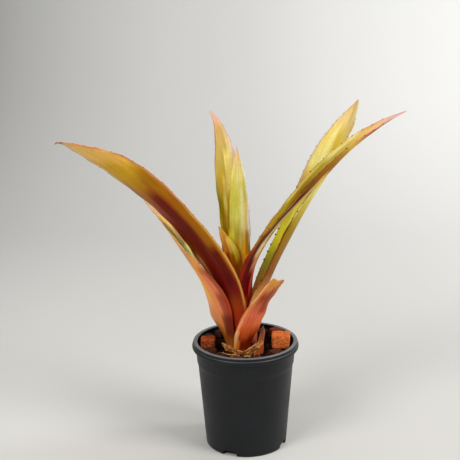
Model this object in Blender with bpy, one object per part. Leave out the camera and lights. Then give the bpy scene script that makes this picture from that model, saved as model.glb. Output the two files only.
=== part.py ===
"""A bromeliad in a round nursery pot, for Blender 4.5.

Run it with: blender --background --python part.py, or from the text editor.

Metres, +Z up. The origin is the centre of the pot's base, on the surface it
stands on. -Y is the front and +X is the right-hand side.

The pot is a thin tub with a rolled rim and four drain notches. It is
filled with potting mix, with bark chips on top. The plant has a short stem and
strap leaves. Each leaf is a channel: its sheath wraps part of a circle round
the stem, and its blade opens, leans out and tapers to a point.
"""
import math
from typing import NamedTuple

import bpy
import bmesh
import numpy as np

MM = 0.001
CLEARANCE = 0.3 * MM          # gap between pieces that would otherwise touch

# ---- Pot -------------------------------------------------------------------
POT_HEIGHT = 108.0 * MM
POT_FOOT_RADIUS = 40.2 * MM   # outside, at the base
POT_WALL_RADIUS = 48.4 * MM   # outside, where the wall meets the rim
POT_WALL = 1.1 * MM
POT_FLOOR = 2.0 * MM
POT_FOOT_EDGE = 1.6 * MM      # rounding of the base corner
RIM_OVERHANG = 4.3 * MM       # how far the rim stands out from the wall
RIM_DROP = 7.4 * MM           # from the crest to the foot of the rolled bead
RIM_STEP = 1.1 * MM           # the crest stands in from the bead by this
RIM_STEP_DROP = 2.9 * MM      # from the crest down to the top of the bead
RIM_ROUND = 1.2 * MM          # rounding of the crest's outer corner
RIM_TURN_IN = 1.9 * MM        # how far the bead's section curves back
RIM_SKIN = 1.2 * MM
LEDGE_RISE = 0.8 * MM         # the wall is this much wider just under the rim
LEDGE_DEPTH = 13.0 * MM       # height of that wider part
LEDGE_SLOPE = 4.0 * MM        # height of its run back into the wall
POT_SIDES = 48

NOTCH_AZIMUTHS = (-115, -25, 65, 155)
NOTCH_WIDTH = 14.6 * MM
NOTCH_HEIGHT = 5.4 * MM
NOTCH_DEPTH = 7.0 * MM        # how far the notch runs in under the pot
NOTCH_SHOULDER = 0.25         # drop of the arch at its sides, share of its width
NOTCH_CROWN = 0.72            # flat top of the arch, share of its width

# ---- Potting mix -----------------------------------------------------------
MIX_HEADSPACE = 7.5 * MM      # from the rim's crest down to the mix
WELL_DEPTH = 10.0 * MM        # planting hole, round the crown
WELL_MARGIN = 3.0 * MM        # from the outermost sheath to the hole's side
WELL_FLARE = 1.5 * MM

# ---- Crown -----------------------------------------------------------------
CROWN_X = -2.0 * MM           # the plant stands a little left of the middle
CROWN_Y = 0.0 * MM
STEM_RADIUS = 3.2 * MM
STEM_HEIGHT = 16.0 * MM
STEM_BEVEL = 0.2              # rounding of the stem's foot, share of its radius
STEM_DOME = 0.6               # height of its domed top, share of its radius
SHEATH_START = 1.2 * MM       # sheaths begin this far above the hole's floor
SHEATH_GAP = 1.3 * MM         # between one sheath and the next

# ---- Leaves ----------------------------------------------------------------
LEAF_THICKNESS = 1.0 * MM     # along the middle
LEAF_EDGE = 0.5 * MM          # at the margins and the tip
LEAF_ROWS = 25
LEAF_COLUMNS = 7
STATIONS = (0.0, 0.15, 0.30, 0.50, 0.75, 1.0)   # shares of a leaf's length


class Leaf(NamedTuple):
    """A leaf's design. Lengths are in millimetres and angles in degrees.

    ring     place of its sheath in the nest: 0 is next to the stem
    azimuth  direction of the sheath's middle from the crown, from +X
    rise     steepness of the midrib at each station, 90 is straight up
    width    width of the blade laid flat, at each station
    heading  compass direction that the blade leans to, from station 1 on
    roll     turn of the blade about its own midrib, from station 1 on
    curl     angle that the cross-section bends through, from station 1 on

    At station 0 the leaf is a sheath on its ring: it leans to its azimuth, is
    not rolled, and its curl follows from its width and its ring.
    """
    name: str
    colour: tuple
    length: float
    ring: int
    azimuth: float
    rise: tuple
    heading: tuple
    roll: tuple
    width: tuple
    curl: tuple


LEAVES = (
    Leaf("leaf_left_front", (0.34, 0.16, 0.04), 313, 4, 208,
         rise=(90, 83, 59, 48, 36, 19), width=(35, 44, 52, 52, 47, 1),
         heading=(186, 170, 170, 209, 250), roll=(27, 48, 46, 25, 0),
         curl=(91, 64, 62, 59, 60)),
    Leaf("leaf_left_back", (0.62, 0.24, 0.08), 183, 5, 166,
         rise=(84, 72, 70, 56, 47, 25), width=(42, 46, 52, 41, 26, 1),
         heading=(187, 175, 160, 140, 137), roll=(18, 33, 29, 19, 3),
         curl=(34, 74, 87, 79, 42)),
    Leaf("leaf_back_tall", (0.55, 0.50, 0.12), 253, 2, 122,
         rise=(84, 83, 84, 79, 66, 28), width=(16, 22, 23, 23, 22, 1),
         heading=(112, 111, 110, 102, 120), roll=(0, 0, -1, -11, -21),
         curl=(98, 84, 66, 62, 56)),
    Leaf("leaf_back_inner", (0.55, 0.52, 0.16), 208, 1, 107,
         rise=(83, 85, 86, 86, 76, 57), width=(13, 17, 19, 23, 22, 1),
         heading=(90, 93, 94, 92, 94), roll=(1, -4, -8, -9, -4),
         curl=(116, 104, 100, 100, 40)),
    Leaf("leaf_heart", (0.60, 0.36, 0.10), 134, 0, 170,
         rise=(89, 89, 90, 84, 75, 63), width=(9, 12, 15, 20, 25, 1),
         heading=(172, 170, 166, 161, 150), roll=(3, 2, -3, -10, -23),
         curl=(130, 104, 78, 60, 33)),
    Leaf("leaf_right", (0.42, 0.16, 0.04), 306, 3, -21,
         rise=(91, 96, 72, 50, 45, 24), width=(26, 33, 43, 45, 26, 1),
         heading=(-36, -27, -10, 7, 4), roll=(5, 10, 2, 7, 40),
         curl=(90, 98, 68, 185, 140)),
    Leaf("leaf_right_back", (0.52, 0.44, 0.10), 288, 4, 34,
         rise=(87, 77, 65, 59, 51, 28), width=(33, 48, 48, 46, 39, 1),
         heading=(11, 16, 21, 46, 66), roll=(-13, -14, -14, -4, 11),
         curl=(136, 101, 118, 116, 87)),
    Leaf("leaf_cut_stub", (0.62, 0.26, 0.16), 103, 6, -90,
         rise=(82, 73, 69, 65, 56, 52), width=(22, 23, 27, 25, 20, 16),
         heading=(-56, -54, -53, -34, -9), roll=(2, -6, -12, -22, -43),
         curl=(95, 77, 56, 20, 12)),
    Leaf("sheath_lobe", (0.65, 0.22, 0.16), 37, 7, -42,
         rise=(85, 81, 79, 79, 84, 92), width=(12, 14, 14, 12, 8, 2),
         heading=(-42, -42, -42, -42, -42), roll=(0, 0, 0, 0, 0),
         curl=(45, 55, 60, 60, 40)),
)


class Chip(NamedTuple):
    """A nugget of bark. inner and outer are shares of the way over the mix from
    the planting hole (0) to the pot's wall (1). along and height are shares of
    that way's length, so the chips fit the room that they lie in."""
    name: str
    colour: tuple
    azimuth: float
    inner: float
    outer: float
    along: float
    height: float


CHIPS = (
    Chip("bark_chip_right", (0.42, 0.12, 0.03), -2, 0.03, 0.98, 0.96, 0.64),
    Chip("bark_chip_right_rear", (0.30, 0.09, 0.03), 36, 0.35, 0.96, 0.62, 0.45),
    Chip("bark_chip_rear_right", (0.12, 0.05, 0.02), 59, 0.10, 0.70, 0.52, 0.31),
    Chip("bark_chip_rear", (0.16, 0.06, 0.02), 84, 0.20, 0.85, 0.62, 0.40),
    Chip("bark_chip_rear_left", (0.10, 0.04, 0.02), 132, 0.20, 0.80, 0.52, 0.33),
    Chip("bark_chip_left_rear", (0.09, 0.04, 0.02), 152, 0.45, 0.95, 0.46, 0.33),
    Chip("bark_chip_left", (0.30, 0.07, 0.03), 181, 0.04, 0.97, 0.88, 0.56),
    Chip("bark_chip_left_front", (0.10, 0.04, 0.02), 209, 0.30, 0.92, 0.50, 0.31),
    Chip("bark_chip_front_left", (0.08, 0.03, 0.02), 232, 0.40, 0.95, 0.58, 0.27),
    Chip("bark_chip_front", (0.10, 0.04, 0.02), 258, 0.45, 0.90, 0.52, 0.22),
    Chip("bark_chip_front_right", (0.09, 0.04, 0.02), 285, 0.42, 0.94, 0.56, 0.27),
    Chip("bark_chip_right_front", (0.12, 0.05, 0.02), 317, 0.40, 0.95, 0.58, 0.31),
)
CHIP_SEED = 3
CHIP_CORNERS = (0.80, 0.98)   # range of the corners, shares of the half sizes
CHIP_UNEVEN = 0.20            # how far the middles of the sides stray, the same
CHIP_SEAT = 0.5               # share of a chip's plan that it rests on


class Husk(NamedTuple):
    """A dry strip of dead leaf base that curls round the front of the crown.
    spread is its distance out from the hole's foot, as a share of the breadth of
    mix round the hole. lift is its height above the mix and width its breadth,
    in mm. start and end are azimuths and lean is its slope, in degrees."""
    name: str
    start: float
    end: float
    spread: tuple
    lift: tuple
    width: float
    lean: float


HUSKS = (
    Husk("husk_strip_left", 217, 270, (0.04, 0.10, 0.14, 0.16), (8.0, 6.6, 5.6, 3.8), 6.4, 68),
    Husk("husk_strip_front", 228, 262, (0.28, 0.30, 0.29, 0.27), (2.4, 2.0, 2.0, 2.4), 3.0, 35),
    Husk("husk_strip_right", 275, 318, (0.16, 0.14, 0.11, 0.07), (4.0, 6.4, 8.2, 10.4), 7.6, 66),
    Husk("husk_strip_outer", 272, 300, (0.29, 0.30, 0.31, 0.29), (1.8, 1.6, 1.6, 2.2), 2.6, 25),
)
HUSK_THICKNESS = 0.7 * MM
HUSK_ROWS = 14
HUSK_TIP = 0.35               # breadth of a strip's ends, share of its width

COLOURS = {
    "pot": (0.018, 0.022, 0.026),
    "mix": (0.035, 0.018, 0.010),
    "stem": (0.25, 0.14, 0.06),
    "husk": (0.45, 0.22, 0.08),
}

# ---- Heights and radii that follow from the sizes above ---------------------
MIX_TOP = POT_HEIGHT - MIX_HEADSPACE
WELL_FLOOR = MIX_TOP - WELL_DEPTH
SHEATH_BASE = WELL_FLOOR + SHEATH_START
RING_STEP = LEAF_THICKNESS + SHEATH_GAP
OUTER_RING = max(leaf.ring for leaf in LEAVES)


def ring_radius(ring):
    """Radius of a sheath's middle: ring 0 is next to the stem."""
    return STEM_RADIUS + SHEATH_GAP / 2 + LEAF_THICKNESS / 2 + ring * RING_STEP


WELL_RADIUS = ring_radius(OUTER_RING) + LEAF_THICKNESS / 2 + WELL_MARGIN
HOLE_RADIUS = WELL_RADIUS + WELL_FLARE


def hole_edge(azimuth):
    """How far the planting hole reaches from the pot's axis, by azimuth."""
    towards = CROWN_X * math.cos(azimuth) + CROWN_Y * math.sin(azimuth)
    sideways = CROWN_Y * math.cos(azimuth) - CROWN_X * math.sin(azimuth)
    return towards + math.sqrt(HOLE_RADIUS**2 - sideways**2)


def wall_radius(height):
    """Outside radius of the pot's wall, which tapers evenly up to the rim."""
    top = POT_HEIGHT - RIM_DROP
    slope = (POT_WALL_RADIUS - POT_FOOT_RADIUS) / top
    return POT_FOOT_RADIUS + slope * min(height, top)


def mouth_radius():
    """Inside radius of the pot at the mix and above, up to the rim's lip."""
    return wall_radius(POT_HEIGHT - RIM_DROP) - POT_WALL


def clear_scene():
    for existing in list(bpy.data.objects):
        bpy.data.objects.remove(existing, do_unlink=True)


def make_material(name, colour, roughness):
    material = bpy.data.materials.new(name)
    material.use_nodes = True
    shader = material.node_tree.nodes["Principled BSDF"]
    shader.inputs["Base Color"].default_value = (*colour, 1.0)
    shader.inputs["Roughness"].default_value = roughness
    return material


def make_object(name, vertices, faces, colour, roughness=0.6):
    mesh = bpy.data.meshes.new(name)
    mesh.from_pydata([tuple(map(float, v)) for v in vertices], [], faces)
    mesh.validate()
    mesh.shade_smooth()
    mesh.set_sharp_from_angle(angle=math.radians(40))
    mesh.materials.append(make_material(name, colour, roughness))
    new_object = bpy.data.objects.new(name, mesh)
    bpy.context.collection.objects.link(new_object)
    return new_object


def turned_solid(name, outline, sides, centre, colour, roughness=0.6):
    """Turn an outline of (radius, height) points round the vertical axis.

    The outline starts on the axis underneath and ends on the axis on top."""
    angles = np.linspace(0, 2 * math.pi, sides, endpoint=False)
    rings = [(radius, height) for radius, height in outline if radius > 0]
    vertices = [
        (centre[0] + radius * math.cos(a), centre[1] + radius * math.sin(a), height)
        for radius, height in rings
        for a in angles
    ]
    faces = []
    for ring in range(len(rings) - 1):
        for side in range(sides):
            nxt = (side + 1) % sides
            low, high = ring * sides, (ring + 1) * sides
            faces.append((low + side, low + nxt, high + nxt, high + side))
    bottom, top = len(vertices), len(vertices) + 1
    vertices.append((centre[0], centre[1], outline[0][1]))
    vertices.append((centre[0], centre[1], outline[-1][1]))
    last = (len(rings) - 1) * sides
    for side in range(sides):
        nxt = (side + 1) % sides
        faces.append((bottom, nxt, side))
        faces.append((top, last + side, last + nxt))
    return make_object(name, vertices, faces, colour, roughness)


def pot_outline():
    """Half section of the pot: foot, wall, ledge, rolled rim, inside and floor."""
    corner = [
        (POT_FOOT_RADIUS - POT_FOOT_EDGE * (1 - math.sin(a)), POT_FOOT_EDGE * (1 - math.cos(a)))
        for a in np.radians((0, 30, 60, 90))
    ]
    band_foot = POT_HEIGHT - RIM_DROP
    bead_top = POT_HEIGHT - RIM_STEP_DROP
    bead_middle = (band_foot + bead_top) / 2
    bead_half = (bead_top - band_foot) / 2
    rim_outer = POT_WALL_RADIUS + RIM_OVERHANG
    ledge_foot = band_foot - LEDGE_DEPTH
    ledge = [
        (wall_radius(ledge_foot - LEDGE_SLOPE), ledge_foot - LEDGE_SLOPE),
        (wall_radius(ledge_foot) + LEDGE_RISE, ledge_foot),
        (wall_radius(bead_middle) + LEDGE_RISE, bead_middle),
    ]
    hollow = [
        (rim_outer - RIM_SKIN, bead_middle),
        (rim_outer - RIM_SKIN - RIM_TURN_IN / 3, band_foot + bead_half / 3),
    ]
    bead = [
        (rim_outer - RIM_TURN_IN * (1 - math.cos(a)), bead_middle + bead_half * math.sin(a))
        for a in np.radians((-75, -35, 0, 35, 65))
    ]
    shoulder = rim_outer - RIM_STEP
    crest = [
        (shoulder - RIM_ROUND * (1 - math.cos(a)), POT_HEIGHT - RIM_ROUND * (1 - math.sin(a)))
        for a in np.radians((-30, 0, 45, 90))
    ]
    crest_inside = POT_WALL_RADIUS
    inner_lip = [
        (crest_inside - POT_WALL * math.sin(a), POT_HEIGHT - POT_WALL * (1 - math.cos(a)))
        for a in np.radians((0, 45, 90))
    ]
    inside = [
        (wall_radius(band_foot) - POT_WALL, band_foot),
        (wall_radius(POT_FLOOR + POT_FOOT_EDGE) - POT_WALL, POT_FLOOR + POT_FOOT_EDGE),
        (wall_radius(POT_FLOOR) - POT_WALL - POT_FOOT_EDGE, POT_FLOOR),
    ]
    return [(0, 0), *corner, *ledge, *hollow, *bead, *crest, *inner_lip, *inside, (0, POT_FLOOR)]


def build_pot():
    pot = turned_solid("pot", pot_outline(), POT_SIDES, (0, 0), COLOURS["pot"], 0.42)
    for number, azimuth in enumerate(NOTCH_AZIMUTHS):
        cutter = notch_cutter(f"notch_cutter_{number}", azimuth)
        cut = pot.modifiers.new(f"notch_{number}", "BOOLEAN")
        cut.operation = "DIFFERENCE"
        cut.solver = "EXACT"
        cut.object = cutter


def notch_cutter(name, azimuth):
    """An arch-topped block that runs in from outside the foot."""
    half = NOTCH_WIDTH / 2
    shoulder = NOTCH_HEIGHT - NOTCH_SHOULDER * NOTCH_WIDTH
    crown = NOTCH_CROWN * half
    arch = [(-half, -NOTCH_HEIGHT), (half, -NOTCH_HEIGHT), (half, shoulder)]
    arch += [(crown, NOTCH_HEIGHT), (-crown, NOTCH_HEIGHT), (-half, shoulder)]
    inner = POT_FOOT_RADIUS - NOTCH_DEPTH
    outer = POT_FOOT_RADIUS + NOTCH_DEPTH
    vertices = [(inner, y, z) for y, z in arch] + [(outer, y, z) for y, z in arch]
    count = len(arch)
    faces = [tuple(reversed(range(count))), tuple(range(count, 2 * count))]
    for side in range(count):
        nxt = (side + 1) % count
        faces.append((side, nxt, count + nxt, count + side))
    cutter = make_object(name, vertices, faces, COLOURS["pot"])
    cutter.rotation_euler = (0, 0, math.radians(azimuth))
    cutter.hide_render = True
    cutter.display_type = "WIRE"
    return cutter


def build_mix():
    """The plug of mix: it follows the pot's inside and has the planting hole."""
    wall_gap = POT_WALL + CLEARANCE
    foot = POT_FLOOR + CLEARANCE
    side_foot = foot + POT_FOOT_EDGE
    outline = [
        (0, foot),
        (wall_radius(foot) - wall_gap - POT_FOOT_EDGE, foot),
        (wall_radius(side_foot) - wall_gap, side_foot),
        (wall_radius(MIX_TOP / 2) - wall_gap, MIX_TOP / 2),
        (wall_radius(MIX_TOP) - wall_gap, MIX_TOP),
        (0, MIX_TOP),
    ]
    plug = turned_solid("potting_mix", outline, POT_SIDES, (0, 0), COLOURS["mix"], 0.95)
    well_outline = [
        (0, WELL_FLOOR),
        (WELL_RADIUS, WELL_FLOOR),
        (WELL_RADIUS + WELL_FLARE, MIX_TOP + WELL_DEPTH),
        (0, MIX_TOP + WELL_DEPTH),
    ]
    cutter = turned_solid("well_cutter", well_outline, POT_SIDES, (CROWN_X, CROWN_Y), COLOURS["mix"])
    cutter.hide_render = True
    cutter.display_type = "WIRE"
    cut = plug.modifiers.new("planting_hole", "BOOLEAN")
    cut.operation = "DIFFERENCE"
    cut.solver = "EXACT"
    cut.object = cutter


def build_stem():
    foot = WELL_FLOOR + CLEARANCE
    top = foot + STEM_HEIGHT
    outline = [
        (0, foot),
        (STEM_RADIUS * (1 - STEM_BEVEL), foot),
        (STEM_RADIUS, foot + STEM_BEVEL * STEM_RADIUS),
        (STEM_RADIUS, top - STEM_DOME * STEM_RADIUS),
        (STEM_RADIUS * math.cos(math.pi / 4), top - STEM_DOME * STEM_RADIUS * (1 - math.sin(math.pi / 4))),
        (0, top),
    ]
    turned_solid("stem", outline, 20, (CROWN_X, CROWN_Y), COLOURS["stem"], 0.8)


def along_leaf(values, share):
    """Smooth curve through one value for each station (cubic Hermite)."""
    stations = np.array(STATIONS)
    values = np.array(values, dtype=float)
    slopes = np.gradient(values, stations)
    span = np.clip(np.searchsorted(stations, share) - 1, 0, len(stations) - 2)
    step = stations[span + 1] - stations[span]
    t = (share - stations[span]) / step
    return (
        (2 * t**3 - 3 * t**2 + 1) * values[span]
        + (t**3 - 2 * t**2 + t) * step * slopes[span]
        + (3 * t**2 - 2 * t**3) * values[span + 1]
        + (t**3 - t**2) * step * slopes[span + 1]
    )


def leaf_surface(leaf, rows, columns):
    """Middle surface of a leaf: its points, and its unit normals to the crown.

    The midrib is followed up from the ring by its rise and heading. At each
    row the cross-section is an arc, as wide as the blade, bent through curl."""
    share = np.linspace(0, 1, rows)
    ring = ring_radius(leaf.ring)
    sheath_curl = math.degrees(leaf.width[0] * MM / ring)
    rise = np.radians(along_leaf(leaf.rise, share))
    heading = np.radians(along_leaf((leaf.azimuth, *leaf.heading), share))
    roll = np.radians(along_leaf((0, *leaf.roll), share))
    width = along_leaf(leaf.width, share) * MM
    curl = np.radians(along_leaf((sheath_curl, *leaf.curl), share))

    tangent = np.stack((np.cos(rise) * np.cos(heading), np.cos(rise) * np.sin(heading), np.sin(rise)), 1)
    step = leaf.length * MM / (rows - 1)
    midrib = np.zeros((rows, 3))
    midrib[1:] = np.cumsum((tangent[1:] + tangent[:-1]) / 2 * step, 0)
    azimuth = math.radians(leaf.azimuth)
    midrib += (CROWN_X + ring * math.cos(azimuth), CROWN_Y + ring * math.sin(azimuth), SHEATH_BASE)

    level = np.stack((-np.sin(heading), np.cos(heading), np.zeros(rows)), 1)
    inward = np.stack((-np.sin(rise) * np.cos(heading), -np.sin(rise) * np.sin(heading), np.cos(rise)), 1)
    turn, lift = np.cos(roll)[:, None], np.sin(roll)[:, None]
    across = (turn * level + lift * inward)[:, None, :]
    normal = (turn * inward - lift * level)[:, None, :]

    angle = (np.linspace(-0.5, 0.5, columns)[None, :] * curl[:, None])[..., None]
    bend = (width / curl)[:, None, None]
    points = midrib[:, None, :] + bend * (np.sin(angle) * across + (1 - np.cos(angle)) * normal)
    normals = np.cos(angle) * normal - np.sin(angle) * across
    return points, normals


def thick_sheet(name, points, normals, thickness, colour):
    """Close a grid of points into a solid sheet, half of its thickness each way."""
    rows, columns = points.shape[:2]
    offset = normals * thickness[..., None] / 2
    vertices = np.concatenate(((points + offset).reshape(-1, 3), (points - offset).reshape(-1, 3)))
    back = rows * columns
    faces = []
    for row in range(rows - 1):
        for column in range(columns - 1):
            a = row * columns + column
            b = a + columns
            faces.append((a, a + 1, b + 1, b))
            faces.append((back + a, back + b, back + b + 1, back + a + 1))
    for row in range(rows - 1):
        left = row * columns
        right = left + columns - 1
        faces.append((left, left + columns, back + left + columns, back + left))
        faces.append((right, back + right, back + right + columns, right + columns))
    for column in range(columns - 1):
        start = column
        end = (rows - 1) * columns + column
        faces.append((start, back + start, back + start + 1, start + 1))
        faces.append((end, end + 1, back + end + 1, back + end))
    sheet = make_object(name, vertices, faces, colour, 0.5)
    make_normals_point_out(sheet.data)


def make_normals_point_out(mesh):
    work = bmesh.new()
    work.from_mesh(mesh)
    bmesh.ops.recalc_face_normals(work, faces=work.faces)
    work.to_mesh(mesh)
    work.free()


def build_leaf(leaf):
    points, normals = leaf_surface(leaf, LEAF_ROWS, LEAF_COLUMNS)
    side = np.abs(np.linspace(-1, 1, LEAF_COLUMNS))[None, :]
    share = np.linspace(0, 1, LEAF_ROWS)[:, None]
    fullness = (1 - side**2) * (1 - share**6)
    thickness = LEAF_EDGE + (LEAF_THICKNESS - LEAF_EDGE) * fullness
    thick_sheet(leaf.name, points, normals, thickness, leaf.colour)


def build_chip(chip, random):
    """A faceted nugget: the hull of points scattered on a squat rounded box."""
    azimuth = math.radians(chip.azimuth)
    hole = hole_edge(azimuth)
    wall = mouth_radius() - CLEARANCE
    room = wall - hole
    half_along = chip.along * room / 2
    reach = math.sqrt(wall**2 - half_along**2) - hole
    inner = hole + chip.inner * reach
    outer = hole + chip.outer * reach
    half = np.array(((outer - inner) / 2, half_along, chip.height * room / 2))
    corners = np.array([(x, y, z) for x in (-1, 1) for y in (-1, 1) for z in (-1, 1)], dtype=float)
    corners *= random.uniform(*CHIP_CORNERS, corners.shape)
    middles = np.concatenate((np.eye(3), -np.eye(3)))
    middles += random.uniform(-CHIP_UNEVEN, CHIP_UNEVEN, middles.shape)
    middles = np.clip(middles, -1, 1)
    seat = np.array([(x * CHIP_SEAT, y * CHIP_SEAT, -1) for x in (-1, 1) for y in (-1, 1)])
    scattered = np.concatenate((corners, middles, seat)) * half
    turn = np.array(((math.cos(azimuth), math.sin(azimuth), 0),
                     (-math.sin(azimuth), math.cos(azimuth), 0),
                     (0, 0, 1)))
    place = scattered + ((inner + outer) / 2, 0, MIX_TOP + CLEARANCE + half[2])
    hull = bmesh.new()
    for point in place @ turn:
        hull.verts.new(point)
    result = bmesh.ops.convex_hull(hull, input=hull.verts)
    spare = {item for item in result["geom_interior"] if isinstance(item, bmesh.types.BMVert)}
    bmesh.ops.delete(hull, geom=list(spare), context="VERTS")
    bmesh.ops.recalc_face_normals(hull, faces=hull.faces)
    mesh = bpy.data.meshes.new(chip.name)
    hull.to_mesh(mesh)
    hull.free()
    mesh.materials.append(make_material(chip.name, chip.colour, 0.9))
    bpy.context.collection.objects.link(bpy.data.objects.new(chip.name, mesh))


def build_husk(husk):
    """A ribbon that follows an arc round the crown's hole, leaning outwards."""
    share = np.linspace(0, 1, HUSK_ROWS)
    knots = np.linspace(0, 1, len(husk.spread))
    breadth = mouth_radius() - HOLE_RADIUS
    spread = np.interp(share, knots, husk.spread) * breadth
    lift = np.interp(share, knots, husk.lift) * MM
    azimuth = np.radians(husk.start + (husk.end - husk.start) * share)
    radial = np.stack((np.cos(azimuth), np.sin(azimuth), np.zeros(HUSK_ROWS)), 1)
    middle = radial * (WELL_RADIUS + spread)[:, None]
    middle += np.stack((np.full(HUSK_ROWS, CROWN_X), np.full(HUSK_ROWS, CROWN_Y), MIX_TOP + lift), 1)
    lean = math.radians(husk.lean)
    upright = np.array((0, 0, 1))
    across = radial * math.cos(lean) + upright * math.sin(lean)
    normal = upright * math.cos(lean) - radial * math.sin(lean)
    taper = HUSK_TIP + (1 - HUSK_TIP) * np.sin(math.pi * share)
    side = np.linspace(-0.5, 0.5, 3)
    offset = side[None, :, None] * (husk.width * MM * taper)[:, None, None]
    points = middle[:, None, :] + offset * across[:, None, :]
    normals = np.repeat(normal[:, None, :], len(side), axis=1)
    thickness = np.full(points.shape[:2], HUSK_THICKNESS)
    thick_sheet(husk.name, points, normals, thickness, COLOURS["husk"])


def main():
    clear_scene()
    build_pot()
    build_mix()
    build_stem()
    for leaf in LEAVES:
        build_leaf(leaf)
    random = np.random.default_rng(CHIP_SEED)
    for chip in CHIPS:
        build_chip(chip, random)
    for husk in HUSKS:
        build_husk(husk)


main()
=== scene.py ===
# %% [markdown]
# # A potted bromeliad in its nursery pot
# A young spiny bromeliad stands in a black nursery pot: eight strap leaves that
# wrap round each other at the crown, chunks of pine bark on a coarse mix, and some
# dry husk left by the oldest leaves. The solid model already fixes where every piece
# stands and how big it is. This script gives each piece its finished surface: it
# works out fine skins with numpy, paints the leaves, and lights a small studio.

# %% Load the solid model
import math
from typing import NamedTuple

import bpy
import numpy as np
from mathutils import Matrix, Vector


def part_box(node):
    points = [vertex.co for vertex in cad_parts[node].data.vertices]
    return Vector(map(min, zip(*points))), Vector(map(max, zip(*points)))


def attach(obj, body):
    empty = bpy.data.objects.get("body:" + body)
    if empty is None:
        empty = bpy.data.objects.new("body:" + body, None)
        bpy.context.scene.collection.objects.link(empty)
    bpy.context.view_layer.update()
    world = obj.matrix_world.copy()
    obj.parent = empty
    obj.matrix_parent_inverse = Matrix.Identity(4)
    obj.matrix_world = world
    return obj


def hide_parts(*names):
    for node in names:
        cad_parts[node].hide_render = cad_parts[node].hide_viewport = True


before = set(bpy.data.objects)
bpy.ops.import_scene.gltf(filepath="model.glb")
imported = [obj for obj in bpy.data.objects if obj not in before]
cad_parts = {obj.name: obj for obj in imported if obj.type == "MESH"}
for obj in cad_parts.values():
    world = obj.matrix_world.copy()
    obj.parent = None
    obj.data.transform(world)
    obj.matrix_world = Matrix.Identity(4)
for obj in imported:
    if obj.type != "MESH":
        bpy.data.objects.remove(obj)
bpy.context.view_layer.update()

MM = 0.001

# %% [markdown]
# ## Small helpers for materials
# Colours are chosen as sRGB hex values, the way a paint chart gives them, but a
# shader mixes light in linear values, so one function turns hex into linear. A
# second one adds a node, sets its properties and feeds its sockets, so that a
# material reads from top to bottom like a recipe. Plain grained stuff, such as horn,
# cork or compost, has one noise for its colour and relief, and shares one recipe.

# %% Colour and node helpers


def to_linear(srgb):
    """sRGB to linear: c / 12.92 near black, else ((c + 0.055) / 1.055) to the 2.4."""
    srgb = np.clip(np.asarray(srgb, dtype=float), 0, 1)
    return np.where(srgb <= 0.04045, srgb / 12.92, ((srgb + 0.055) / 1.055) ** 2.4)


def hex_srgb(code):
    """The three sRGB shares, 0 to 1, that a six-digit hex code stands for."""
    return np.array([int(code[place:place + 2], 16) for place in (0, 2, 4)]) / 255


def paint(code):
    """A linear RGBA colour from a hex code, for a shader's socket."""
    return (*to_linear(hex_srgb(code)), 1.0)


def feed(tree, node, inputs):
    """Fill sockets with values, or link them to a socket or a node's first output."""
    for name, value in inputs.items():
        if isinstance(value, bpy.types.Node):
            value = value.outputs[0]
        if isinstance(value, bpy.types.NodeSocket):
            tree.links.new(value, node.inputs[name])
        else:
            node.inputs[name].default_value = value


def add(tree, kind, inputs=None, stops=None, **settings):
    """Add a shader node with its properties, ramp stops and fed sockets."""
    node = tree.nodes.new("ShaderNode" + kind)
    for name, value in settings.items():
        setattr(node, name, value)
    for number, (place, code) in enumerate(stops or ()):
        if number >= len(node.color_ramp.elements):
            node.color_ramp.elements.new(place)
        node.color_ramp.elements[number].position = place
        node.color_ramp.elements[number].color = paint(code)
    feed(tree, node, inputs or {})
    return node


def new_material(name, **constants):
    """A material with one Principled shader, whose constants are set on its sockets."""
    material = bpy.data.materials.new(name)
    material.use_nodes = True
    shader = material.node_tree.nodes["Principled BSDF"]
    for key, value in constants.items():
        shader.inputs[key.replace("_", " ").title().replace("Ior", "IOR")].default_value = value
    return material, material.node_tree, shader


def grained(name, grain, stops, detail, breakup=0.5, bump=None, **constants):
    """Ramp and bump (strength, distance) on one noise with this grain size in x, y and z."""
    material, tree, shader = new_material(name, **constants)
    place = add(tree, "TexCoord")
    scaled = add(tree, "Mapping", {
        "Vector": place.outputs["Object"], "Scale": [1 / size for size in grain]})
    noise = add(tree, "TexNoise", {
        "Vector": scaled, "Scale": 1.0, "Detail": detail, "Roughness": breakup})
    feed(tree, shader, {"Base Color": add(tree, "ValToRGB", {"Fac": noise}, stops=stops)})
    if bump:
        strength, distance = bump
        relief = add(tree, "Bump", {"Height": noise, "Strength": strength, "Distance": distance})
        feed(tree, shader, {"Normal": relief})
    return material


print("helpers ready; mid grey 808080 is linear", round(float(to_linear(128 / 255)), 3))

# %% [markdown]
# ## The camera
# A long lens from a metre away looks down on the plant by about 16 degrees, so
# the pot's mouth opens into a shallow ellipse and the leaves keep their true
# lengths. The camera leans by less than a degree, as a hand-set tripod does.

# %% Place the camera
LENS_MM = 86.1
SENSOR_MM = 36.0
CAMERA_PLACE = (-0.0137, -1.019, 0.509)
LOOK_DOWN = 15.78        # degrees
TRIPOD_LEAN = -0.78

camera_data = bpy.data.cameras.new("tripod_camera")
camera_data.lens = LENS_MM
camera_data.sensor_width = SENSOR_MM
camera = bpy.data.objects.new("tripod_camera", camera_data)
camera.matrix_world = (
    Matrix.Translation(CAMERA_PLACE)
    @ Matrix.Rotation(math.radians(90 - LOOK_DOWN), 4, "X")
    @ Matrix.Rotation(math.radians(TRIPOD_LEAN), 4, "Z")
)
bpy.context.scene.collection.objects.link(camera)
bpy.context.scene.camera = camera
bpy.context.scene.view_settings.view_transform = "Standard"
print("camera stands", round(-CAMERA_PLACE[1], 2), "m in front and", CAMERA_PLACE[2], "m up")

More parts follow.
